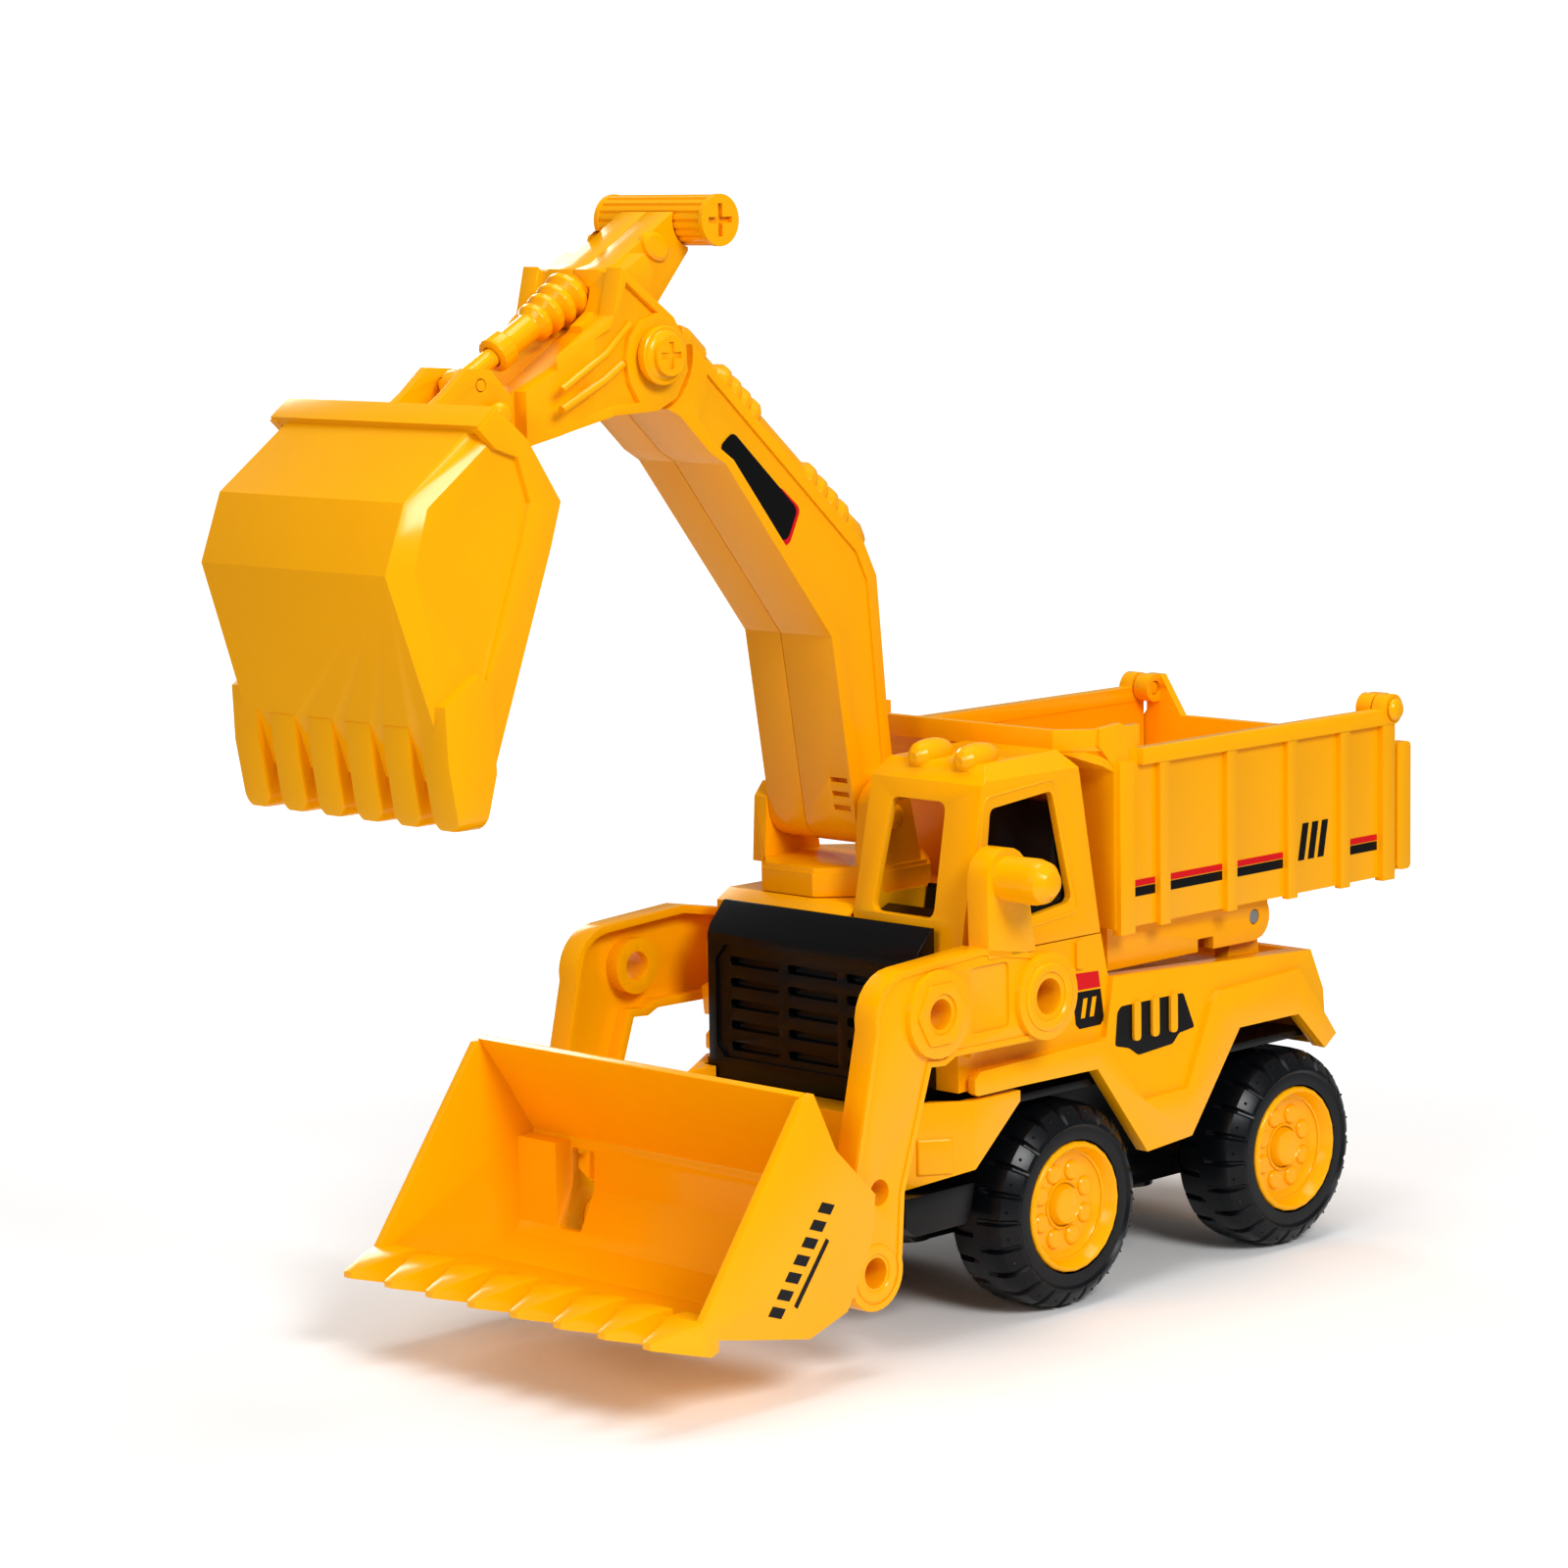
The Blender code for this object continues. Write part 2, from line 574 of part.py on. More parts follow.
def make_loader_arm(side, word):
    """Make one L-shaped loader arm with its hollow pivot stubs."""
    outer = [(-21.0, 105.0)] + arc(LIFT_PIVOT, 12.0, 60.0, -90.0, 8)
    outer += [(-57.0, 81.4), (-61.0, 79.6), (-66.5, 80.0), (-77.6, 48.0), (-78.8, 31.0)]
    outer += arc(TILT_PIVOT, 10.4, 15.0, -195.0, 12)
    outer += [(-99.0, 36.0), (-95.6, 47.8), (-96.4, 57.0), (-88.2, 92.5)]
    outer += arc((-75.4, 94.6), 13.0, 176.0, 92.0, 6)
    outer += [(-46.0, 109.4)]
    arm = plate("arm_" + word, outer, *span(side, ARM_INNER, ARM_OUTER))
    cut(arm, plate("arm_hollow_" + word, inset(outer, 2.2), *span(side, 50.0, ARM_OUTER - WALL)))
    join(arm,
         rod("lift_boss_" + word, 12.0, *span(side, 52.4, 62.6), LIFT_PIVOT, "X", 32),
         rod("elbow_cap_" + word, 12.0, *span(side, 59.4, 62.6), ELBOW, "X", 24),
         rod("elbow_boss_" + word, 8.0, *span(side, ARM_INNER + 0.3, 60.2), ELBOW, "X", 24),
         rod("leg_boss_" + word, 5.6, *span(side, ARM_INNER + 0.3, 59.4), (-87.2, 49.6), "X", 20),
         rod("tilt_boss_" + word, 9.6, *span(side, ARM_INNER + 0.3, 59.4), TILT_PIVOT, "X", 24),
         rod("lift_stub_" + word, 7.0, *span(side, 43.0 if side > 0 else 40.0, 56.0),
             LIFT_PIVOT, "X", 24),
         rod("tilt_stub_" + word, 5.6, *span(side, 45.0, 56.0), TILT_PIVOT, "X", 24))
    if side > 0.0:
        add_lever(arm)
    link_panel = rounded([(-35.0, 104.5), (-50.5, 104.5), (-50.5, 86.5), (-35.0, 86.5)], 1.5, 2)
    cut(arm,
        rod("lift_hole_" + word, 5.0, *span(side, 30.0, 70.0), LIFT_PIVOT, "X", 24),
        rod("elbow_hole_" + word, 4.2, *span(side, 50.0, 70.0), ELBOW, "X", 20),
        rod("leg_hole_" + word, 3.6, *span(side, 50.0, 70.0), (-87.2, 49.6), "X", 20),
        rod("tilt_hole_" + word, 4.2, *span(side, 30.0, 70.0), TILT_PIVOT, "X", 20),
        plate("link_panel_" + word, link_panel, *span(side, ARM_OUTER - 0.9, 70.0)))
    piece(arm, "loader_arm_" + word, "loader_arms", "yellow_plastic")


def add_lever(arm):
    """Add the hand lever and its round knob to the left arm."""
    post = [(-43.5, 106.0), (-24.5, 106.0), (-27.0, 122.0)]
    post += arc((-35.6, 127.2), 8.3, 0.0, 180.0, 10) + [(-43.9, 122.0)]
    join(arm,
         plate("lever_post", post, ARM_INNER + 0.3, 61.0),
         turned("lever_knob", [(0.0, 23.0), (3.4, 22.2), (5.6, 19.8), (6.4, 16.6), (6.2, 4.0),
                               (0.0, 4.0)], across_x(55.0, (-35.6, 127.2)), 20))


def make_loader_bucket():
    """Make the wide front bucket with its side panels, teeth and ears."""
    back = [(-116.0, 81.2), (-105.6, 65.4), (-96.4, 51.6), (-96.9, 38.0), (-104.6, 22.0),
            (-117.8, 16.9), (-144.8, 21.9), (-156.0, 24.4), (-156.2, 27.4), (-144.5, 24.4),
            (-118.2, 19.5), (-106.4, 24.0), (-99.3, 38.4), (-98.9, 52.2), (-107.7, 65.8),
            (-118.4, 80.6)]
    bucket = plate("loader_back", back, -LOADER_PANEL - OVERLAP, LOADER_PANEL + OVERLAP)
    panel = [(-115.0, 81.0), (-107.0, 64.8), (-92.3, 50.6), (-93.9, 37.7), (-103.4, 21.2),
             (-117.8, 16.6), (-144.8, 21.6), (-156.4, 24.0), (-156.6, 27.8), (-119.0, 79.6)]
    bulge = rectangle((-104.8, 23.4), (-97.4, 51.0))
    for side, word in ((1.0, "left"), (-1.0, "right")):
        join(bucket,
             plate("panel_" + word, panel, *span(side, LOADER_PANEL, LOADER_HALF)),
             plate("bulge_" + word, bulge, *span(side, 46.0, LOADER_PANEL + OVERLAP)))
        pocket = rectangle((-102.6, 18.0), (-90.0, 48.8))
        slot = rounded(rectangle((36.4, 27.0), (45.4, 49.0)), 1.0, 2)
        slot = [(side * x, z) for x, z in slot]
        cut(bucket,
            plate("pocket_" + word, pocket, *span(side, 48.2, LOADER_PANEL - 0.02)),
            plate("back_slot_" + word, slot, -110.0, -90.0, FRONT))
        ear = arc(TILT_PIVOT, 8.8, -110.0, 100.0, 12) + [(-97.6, 44.0), (-104.0, 44.0),
                                                         (-104.0, 24.0)]
        join(bucket, plate("ear_" + word, ear, *span(side, 46.0, 49.4)))
        cut(bucket, rod("ear_bore_" + word, 5.9, *span(side, 40.0, 52.0), TILT_PIVOT, "X", 24))
    add_loader_teeth(bucket)
    piece(bucket, "loader_bucket", "loader_bucket", "yellow_plastic")


def add_loader_teeth(bucket):
    """Add eight tapered teeth along the bucket's lip."""
    count = 8
    pitch = (2.0 * LOADER_HALF - 12.0) / (count - 1)
    for index in range(count):
        x = -LOADER_HALF + pitch * index
        plan = [(x, -151.0), (x + 12.0, -151.0), (x + 12.0, -157.0), (x + 7.4, -170.6),
                (x + 4.4, -170.6), (x, -157.0)]
        tooth = plate("loader_tooth_%d" % index, plan, 18.6, 29.2, PLAN)
        wedge = [(-150.0, 28.4), (-157.0, 28.4), (-171.4, 24.7), (-171.4, 23.4), (-153.6, 18.9),
                 (-146.0, 21.9), (-146.0, 25.0)]
        keep(tooth, plate("loader_wedge_%d" % index, wedge, x - 1.0, x + 13.0))
        join(bucket, tooth)


# -------------------------------------------------------------- dump bed

def make_dump_bed():
    """Make the open dump bed with its ribs, rails, visor and hinge lugs."""
    floor_top = 106.4
    front = 23.0
    rear = 150.0
    rail = 154.3
    wall = [(front, 104.0), (rear, 104.0), (rear, rail), (33.4, rail), (30.5, 159.3),
            (26.0, 162.2), (17.0, 161.4), (16.6, 156.6), (front, 150.0)]
    bed = box("bed_floor", (-BED_HALF + 1.0, front + 0.5, 104.0),
              (BED_HALF - 1.0, rear - 0.3, floor_top))
    join(bed, box("bed_front", (-BED_HALF + 1.0, front, 104.2), (BED_HALF - 1.0, front + 2.3, 150.4)))
    for side, word in ((1.0, "left"), (-1.0, "right")):
        join(bed, plate("bed_wall_" + word, wall, *span(side, BED_HALF - WALL, BED_HALF)))
    add_bed_visor(bed)
    for side, word in ((1.0, "left"), (-1.0, "right")):
        add_bed_side(bed, side, word, front, rear, rail)
        add_bed_lug(bed, side, word)
    join(bed, box("sub_front", (-42.0, 25.6, 91.4), (42.0, 27.8, 104.6)))
    piece(bed, "dump_bed", "dump_bed", "yellow_plastic")


def add_bed_visor(bed):
    """Add the sloped visor that reaches over the cab, with its rim."""
    plan = [(-BED_HALF, 34.0), (-BED_HALF, 18.0), (-39.0, 8.4), (39.0, 8.4), (BED_HALF, 18.0),
            (BED_HALF, 34.0), (46.4, 34.0), (46.4, 19.0), (37.9, 10.8), (-37.9, 10.8),
            (-46.4, 19.0), (-46.4, 34.0)]
    rim = plate("visor_rim", plan, 155.2, 161.2, PLAN)
    slope = [(25.0, 147.8), (8.0, 155.6), (8.0, 158.0), (25.0, 150.4)]
    face = plate("visor_face", slope, -BED_HALF + 0.3, BED_HALF - 0.3)
    outside = [(-BED_HALF + 0.3, 40.0), (-BED_HALF + 0.3, 18.2), (-38.8, 8.8), (38.8, 8.8),
               (BED_HALF - 0.3, 18.2), (BED_HALF - 0.3, 40.0)]
    keep(face, plate("visor_plan", outside, 140.0, 165.0, PLAN))
    join(bed, rim, face)


def add_bed_side(bed, side, word, front, rear, rail):
    """Add the top rail, the upright ribs and the corner posts of one side."""
    join(bed, box("rail_" + word, (side * (BED_HALF - 2.6), 33.0, rail - 4.4),
                  (side * (BED_HALF + 2.2), rear - 0.6, rail + 0.2)))
    for index, y in enumerate((43.0, 73.0, 101.0, 126.0)):
        join(bed, box("rib_%s_%d" % (word, index), (side * (BED_HALF - 0.5), y - 2.2, 103.2),
                      (side * (BED_HALF + 1.8), y + 2.2, rail - 3.0)))
    join(bed,
         box("front_post_" + word, (side * (BED_HALF - 1.0), front + 0.2, 102.4),
             (side * (BED_HALF + 2.0), front + 6.4, 151.5)),
         box("rear_post_" + word, (side * (BED_HALF - 1.0), rear - 6.0, 103.0),
             (side * (BED_HALF + 2.0), rear - 0.2, rail - 1.0)),
         rod("gate_ear_" + word, 4.6, *span(side, BED_HALF - 2.3, BED_HALF + 2.4),
             GATE_PIVOT, "X", 20))
    cut(bed, rod("gate_bore_" + word, 2.2, *span(side, 40.0, 56.0), GATE_PIVOT, "X", 14))


def add_bed_lug(bed, side, word):
    """Add one hinge lug and side plate of the sub-frame below the floor."""
    y, z = DUMP_PIVOT
    outline = [(25.8, 104.8), (25.8, 91.3), (66.0, 91.3), (66.0, 95.0), (73.0, 95.0), (73.0, 91.3),
               (y, 91.2)] + arc(DUMP_PIVOT, 7.0, -60.0, 30.0, 6) + [(y + 6.0, 104.8)]
    lug = plate("lug_plate_" + word, outline, *span(side, 40.0, 43.6))
    cut(lug, rod("lug_bore_" + word, 2.3, *span(side, 30.0, 50.0), DUMP_PIVOT, "X", 16))
    join(bed, lug)


def make_tailgate():
    """Make the swinging tailgate with its raised hinge corners."""
    outline = [(-48.4, 104.6), (48.4, 104.6), (48.4, 144.0), (46.0, 147.0), (46.0, 158.4),
               (40.4, 158.4), (32.2, 146.0), (-32.2, 146.0), (-40.4, 158.4), (-46.0, 158.4),
               (-46.0, 147.0), (-48.4, 144.0)]
    gate = plate("gate", outline, 150.6, 153.4, FRONT)
    for side, word in ((1.0, "left"), (-1.0, "right")):
        join(gate,
             plate("gate_flange_" + word, rounded(rectangle((151.2, 105.4), (157.6, 144.0)), 1.5, 2),
                   *span(side, 47.2, 51.0)),
             rod("gate_barrel_" + word, 4.4, *span(side, 40.6, 45.9), GATE_PIVOT, "X", 20))
        cut(gate, rod("gate_hole_" + word, 2.3, *span(side, 38.0, 48.0), GATE_PIVOT, "X", 14))
    piece(gate, "tailgate", "tailgate", "yellow_plastic")


def make_hinge_pins():
    """Make the dump hinge rod and the two tailgate pins."""
    hinge = rod("hinge", 2.0, -43.4, 43.4, DUMP_PIVOT, "X", 14)
    piece(hinge, "dump_hinge_rod", "chassis", "plated_steel")
    for side, word in ((1.0, "left"), (-1.0, "right")):
        profile = [(0.0, 12.6), (2.4, 12.2), (3.4, 11.2), (3.4, 10.6), (1.9, 10.6), (1.9, 0.0),
                   (0.0, 0.0)]
        pin = turned("gate_pin", profile, across_x(side * 41.2, GATE_PIVOT, side), 14)
        piece(pin, "tailgate_pin_" + word, "dump_bed", "yellow_plastic")


# ------------------------------------------------------------------- turret

def make_turret():
    """Make the octagonal turret with its two lugs, and the screw below it."""
    half = 23.9
    reach = half * math.tan(math.radians(22.5))
    corner = math.hypot(half, reach)
    octagon = [(TURRET_X + corner * math.cos(math.radians(22.5 + 45.0 * k)),
                TURRET_Y + corner * math.sin(math.radians(22.5 + 45.0 * k))) for k in range(8)]
    base = DECK_TOP + GAP
    turret = plate("octagon", octagon, base, 121.6, PLAN)
    join(turret,
         plate("octagon_lip", inset(octagon, 1.1), 121.0, 122.8, PLAN),
         rod("spindle", 6.0, DECK_TOP - 4.4, base + 1.0, (TURRET_X, TURRET_Y), "Z", 24))
    y, z = BOOM_PIVOT
    near = [(-26.0, 121.0), (-25.0, 141.0)]
    near += arc((y, z + 2.2), 8.4, 150.0, 20.0, 8) + [(-6.2, 132.0), (-3.6, 121.0)]
    far = [(-27.0, 121.0), (-26.0, 139.6), (-22.6, 143.6), (-11.0, 143.6), (-7.4, 139.6),
           (-4.0, 121.0)]
    join(turret,
         plate("near_lug", near, ARM_X + BOOM_HALF + GAP, ARM_X + BOOM_HALF + 5.2),
         plate("far_lug", far, ARM_X - BOOM_HALF - 5.2, ARM_X - BOOM_HALF - GAP),
         box("back_post", (ARM_X - 2.0, -5.6, 122.0), (ARM_X + 2.0, -2.6, 127.2)))
    cut(turret,
        rod("boom_bore", 2.8, ARM_X - 30.0, ARM_X + 30.0, BOOM_PIVOT, "X", 20),
        rod("spindle_bore", 1.4, 100.0, 118.0, (TURRET_X, TURRET_Y), "Z", 12))
    piece(turret, "turret_base", "turret", "yellow_plastic")
    screw = turned("turret_screw", [(0.0, 117.0), (1.0, 116.4), (1.1, 108.6), (3.0, 108.6),
                                    (3.0, 107.6), (1.8, 106.8), (0.0, 106.8)],
                   Matrix.Translation((TURRET_X * MM, TURRET_Y * MM, 0.0)), 12)
    piece(screw, "turret_screw", "turret", "plated_steel")
    washer = turned("turret_washer", [(1.5, 109.9), (9.0, 109.9), (9.0, 108.9), (1.5, 108.9)],
                    Matrix.Translation((TURRET_X * MM, TURRET_Y * MM, 0.0)), 20, True)
    piece(washer, "turret_washer", "turret", "plated_steel")
    pin = turned("boom_pin", [(0.0, 48.2), (2.2, 47.8), (3.6, 46.6), (3.6, 45.4), (2.4, 45.4),
                              (2.4, 0.6), (0.0, 0.6)], across_x(ARM_X - 22.4, BOOM_PIVOT), 16)
    piece(pin, "boom_pivot_pin", "turret", "yellow_plastic")


# --------------------------------------------------------------------- boom

BOOM_SIDE = (arc(BOOM_PIVOT, 8.7, 20.0, -170.0, 10)
             + [(-33.8, 188.3), (-74.0, 238.6), (-79.5, 241.8), (-91.2, 252.6)]
             + arc(STICK_PIVOT, 10.8, -110.0, -250.0, 8)
             + [(-98.6, 279.9), (-86.7, 272.1), (-20.4, 213.8), (-15.4, 204.0), (-11.6, 164.0),
                (-8.3, 141.0)])
BOOM_SEAM = ARM_X - 3.0


def make_boom():
    """Make the two boom halves and the dummy ram on their back."""
    halves = (("near", BOOM_SEAM + 0.15, ARM_X + BOOM_HALF, ARM_X + TONGUE_HALF),
              ("far", ARM_X - BOOM_HALF, BOOM_SEAM - 0.15, ARM_X - TONGUE_HALF))
    hollow = [(-12.9, 152.0), (-22.0, 152.0), (-31.2, 189.2), (-71.5, 241.0), (-84.5, 255.5),
              (-80.5, 263.6), (-22.2, 212.4), (-17.8, 203.4), (-14.0, 164.0)]
    recess = [(-13.6, 149.0), (-21.6, 149.0), (-30.4, 188.6), (-71.0, 239.6), (-76.0, 243.0),
              (-84.0, 251.5), (-81.2, 258.0), (-80.4, 263.2), (-23.4, 211.4), (-19.0, 202.8),
              (-15.0, 164.0)]
    for word, low, high, tongue in halves:
        half = plate("boom_" + word, BOOM_SIDE, low, high)
        near = word == "near"
        shoulder = (tongue, high + 5.0) if near else (low - 5.0, tongue)
        skin = (low - 5.0, high - WALL - 0.9) if near else (low + WALL + 0.9, high + 5.0)
        face = (high - 0.9, high + 5.0) if near else (low - 5.0, low + 0.9)
        cut(half,
            rod("shoulder_" + word, 15.8, *shoulder, STICK_PIVOT, "X", 32),
            plate("boom_hollow_" + word, hollow, *skin),
            plate("boom_recess_" + word, recess, *face),
            rod("boom_foot_bore_" + word, 2.8, -60.0, 20.0, BOOM_PIVOT, "X", 20),
            rod("boom_tip_bore_" + word, 3.5, -60.0, 20.0, STICK_PIVOT, "X", 20))
        if near:
            for index in range(3):
                z = 139.0 + 4.0 * index
                cut(half, box("foot_slot_%d" % index, (-13.0, -30.0, z - 0.7), (-6.4, -23.9, z + 0.7)))
        piece(half, "boom_" + word + "_half", "boom", "yellow_plastic")
    make_boom_ram()


def bellows(radius, low, high, count, top):
    """Return profile points of rings between two heights, top first."""
    pitch = (high - low) / count
    points = []
    for index in range(count):
        start = high - pitch * index
        size = radius + (top - radius) * index / max(1, count - 1)
        points += [(size - 1.4, start), (size, start - 0.3 * pitch), (size, start - 0.7 * pitch)]
    points.append((points[-1][0] - 1.4, low))
    return points


def make_boom_ram():
    """Make the ringed dummy ram that lies along the back of the boom."""
    start, stop = (-86.7, 272.1), (-20.4, 213.8)
    length = math.dist(start, stop)
    ux, uz = (stop[0] - start[0]) / length, (stop[1] - start[1]) / length
    lift = 6.7
    centre = (start[0] - uz * lift, start[1] + ux * lift)
    profile = [(0.0, -6.0), (4.2, -6.4), (5.2, -9.0), (5.2, -16.5), (3.8, -18.0), (3.8, -24.0)]
    profile += bellows(6.3, -44.0, -24.5, 4, 6.3)
    profile += [(4.6, -44.5), (4.6, -67.5)]
    profile += bellows(6.3, -90.0, -68.0, 4, 6.3)
    profile += [(5.4, -91.0), (5.6, -96.0), (4.4, -100.0), (0.0, -101.0)]
    spot = Matrix.Translation((ARM_X * MM, centre[0] * MM, centre[1] * MM))
    angle = math.atan2(ux, -uz)
    ram = turned("boom_ram", profile, spot @ Matrix.Rotation(angle, 4, "X"), 14)
    piece(ram, "boom_ram", "boom", "yellow_plastic")


# -------------------------------------------------------------------- stick

def make_stick():
    """Make the two stick halves, which fork around the boom's tip."""
    cheek = [(-113.4, 292.6), (-94.6, 279.0), (-90.2, 272.0), (-89.8, 264.5), (-94.0, 257.6),
             (-101.0, 254.4), (-117.0, 254.0), (-139.0, 247.0), (-147.0, 249.3), (-150.8, 250.0)]
    cheek += arc(CURL_PIVOT, 5.6, -60.0, 90.0, 4) + [(-147.3, 260.4), (-116.4, 280.2)]
    front = [(-121.6, 252.3), (-139.0, 247.0)] + arc(CURL_PIVOT, 5.6, -70.0, -250.0, 6)
    front += [(-146.0, 257.6), (-121.6, 272.6)]
    beam = [(-119.2, 274.0), (-112.8, 281.4), (-107.0, 282.0), (-96.0, 282.6), (-92.6, 281.6),
            (-80.0, 296.0), (-80.0, 309.2), (-82.6, 308.2), (-107.2, 293.2), (-112.8, 292.0),
            (-115.0, 281.2), (-119.8, 277.4)]
    shoulder = [(-112.2, 291.0), (-107.5, 292.5), (-101.6, 296.0), (-98.4, 291.4), (-100.6, 284.4),
                (-110.6, 284.4)]
    fork = span(1.0, TONGUE_HALF + GAP, CHEEK_HALF)
    for side, word in ((1.0, "near"), (-1.0, "far")):
        cheeks = sorted((ARM_X + side * fork[0], ARM_X + side * fork[1]))
        half = plate("cheek_" + word, cheek, *cheeks)
        centre = sorted((ARM_X - side * 1.0, ARM_X + side * (fork[0] + OVERLAP)))
        block = sorted((ARM_X - side * 1.3, ARM_X + side * (fork[0] + 0.7)))
        slim = sorted((ARM_X - side * 1.6, ARM_X + side * STICK_HALF))
        wide = sorted((ARM_X - side * 1.9, ARM_X + side * (fork[0] + 2.4)))
        join(half,
             plate("stick_front_" + word, front, *centre),
             plate("stick_block_" + word, block_outline(), *block),
             plate("stick_beam_" + word, beam, *slim),
             plate("stick_shoulder_" + word, shoulder, *wide))
        seam = sorted((ARM_X - side * 6.0, ARM_X + side * 0.15))
        cut(half, box("seam_" + word, (seam[0], -170.0, 230.0), (seam[1], -60.0, 320.0)))
        trim_stick(half, side, word)
        piece(half, "stick_" + word + "_half", "stick", "yellow_plastic")


def block_outline():
    """Return the outline of the cross block above the fork."""
    points = [(-112.9, 291.4), (-99.2, 281.4)]
    points += arc(STICK_PIVOT, 12.2, 79.0, 152.0, 6)
    points += [(-120.2, 266.0), (-123.4, 270.4), (-118.6, 276.6), (-115.4, 280.6)]
    return points


def trim_stick(half, side, word):
    """Taper the front of a stick half and cut its bores and side recess."""
    taper = [(ARM_X + side * (CHEEK_HALF + 1.0), -118.0),
             (ARM_X + side * CHEEK_HALF, -118.0),
             (ARM_X + side * STICK_HALF, -140.0),
             (ARM_X + side * TIP_HALF, -140.4),
             (ARM_X + side * TIP_HALF, -165.0),
             (ARM_X + side * (CHEEK_HALF + 1.0), -165.0)]
    recess = [(-116.8, 277.6), (-139.0, 263.2), (-139.0, 249.8), (-117.6, 256.6), (-107.6, 257.0),
              (-111.0, 262.4), (-112.2, 268.4), (-110.8, 274.2), (-106.6, 278.6), (-100.4, 280.4),
              (-111.8, 288.8), (-114.4, 280.4)]
    face = ARM_X + side * CHEEK_HALF
    skin = sorted((face - side * 1.7, face + side * 2.0))
    cut(half,
        plate("taper_" + word, taper, 230.0, 300.0, PLAN),
        rod("tip_bore_" + word, 2.3, -60.0, 20.0, CURL_PIVOT, "X", 16),
        rod("pivot_bore_" + word, 3.5, -60.0, 20.0, STICK_PIVOT, "X", 20),
        rod("handle_seat_" + word, 7.3, -60.0, 20.0, (-78.4, 304.2), "X", 24),
        plate("cheek_recess_" + word, recess, *skin),
        plate("eye_slot_" + word, [(-164.0, 252.0), (-139.0, 265.7), (-139.0, 275.0),
                                   (-164.0, 275.0)], ARM_X - 3.0, ARM_X + 3.0),
        turned("ram_channel_" + word, [(0.0, -0.4), (7.4, -0.4), (7.4, -21.0), (5.4, -21.0),
                                       (5.4, -36.0), (4.0, -36.0), (4.0, -60.0), (0.0, -60.0)],
               ram_place(), 24))


def ram_place():
    """Return the place of the bucket ram: local Z runs back along its axis."""
    start, stop = (-112.7, 286.5), ROD_PIVOT
    angle = math.atan2(stop[1] - start[1], stop[0] - start[0])
    spot = Matrix.Translation((ARM_X * MM, start[0] * MM, start[1] * MM))
    return spot @ Matrix.Rotation(angle + 0.5 * math.pi, 4, "X")


def make_bucket_ram():
    """Make the ringed barrel on the stick and the rod that slides in it."""
    bore = 2.9
    profile = [(bore, -0.8), (6.6, -0.8)]
    profile += bellows(7.0, -18.6, -1.2, 4, 5.4)
    profile += [(3.8, -19.0), (3.8, -28.4), (4.9, -29.0), (4.9, -33.8), (bore, -34.4)]
    barrel = turned("barrel", profile, ram_place(), 16, True)
    piece(barrel, "stick_ram_barrel", "stick", "yellow_plastic")
    reach = math.dist((-112.7, 286.5), ROD_PIVOT)
    shaft = turned("shaft", [(0.0, -8.0), (2.6, -8.0), (2.6, -reach + 3.5), (0.0, -reach + 3.5)],
                   ram_place(), 16)
    eye = shifted(ROD_PIVOT, 0.4, -0.7)
    join(shaft, rod("eye", 4.6, ARM_X - 2.4, ARM_X + 2.4, eye, "X", 20))
    cut(shaft, rod("eye_bore", 2.8, ARM_X - 10.0, ARM_X + 10.0, eye, "X", 20))
    piece(shaft, "bucket_rod", "bucket_rod", "yellow_plastic")


def make_stick_fittings():
    """Make the handle bar and the pins with their wide heads."""
    handle = rod("handle", 7.0, ARM_X - 21.0, ARM_X + 21.0, (-78.4, 304.2), "X", 24)
    piece(handle, "stick_handle", "stick", "yellow_plastic")
    head = [(0.0, 43.8), (3.6, 43.5), (6.4, 42.4), (7.4, 41.0), (7.4, 38.6), (3.2, 38.6),
            (3.2, 0.4), (0.0, 0.4)]
    pin = turned("stick_pin", head, across_x(ARM_X - CHEEK_HALF - 0.1, STICK_PIVOT), 24)
    piece(pin, "stick_pivot_pin", "stick", "yellow_plastic")
    cap = turned("stick_cap", [(0.0, 5.2), (3.6, 4.9), (6.4, 3.8), (7.4, 2.4), (7.4, 0.3),
                               (0.0, 0.3)], across_x(ARM_X - CHEEK_HALF - 0.1, STICK_PIVOT, -1.0), 24)
    piece(cap, "stick_pivot_cap", "stick", "yellow_plastic")


# -------------------------------------------------------------------- scoop

SCOOP_BACK = [(-177.4, 258.6), (-205.6, 237.6), (-212.4, 219.8), (-197.4, 178.0), (-193.4, 166.0)]
SCOOP_SIDE = [(-175.4, 254.0), (-200.6, 236.0), (-205.6, 220.4), (-193.6, 182.0), (-190.6, 166.0)]
SCOOP_FRONT = [(-184.6, 166.0), (-164.2, 223.2), (-160.0, 235.0), (-170.2, 250.4)]
SCOOP_WIDTHS = (35.2, 36.1, 36.1, 37.4, 37.8)
PANEL_HALF = 39.2
FLANGE_HALF = 40.9
TEETH_HALF = 42.0


def hull(name, points):
    """Make the convex solid over a set of points in vehicle millimetres."""
    work = bmesh.new()
    for point in points:
        work.verts.new([value * MM for value in point])
    result = bmesh.ops.convex_hull(work, input=work.verts)
    loose = [item for item in result["geom_interior"] if isinstance(item, bmesh.types.BMVert)]
    bmesh.ops.delete(work, geom=loose, context="VERTS")
    mesh = bpy.data.meshes.new(name)
    work.to_mesh(mesh)
    work.free()
    return new_object(name, mesh, Matrix.Identity(4))


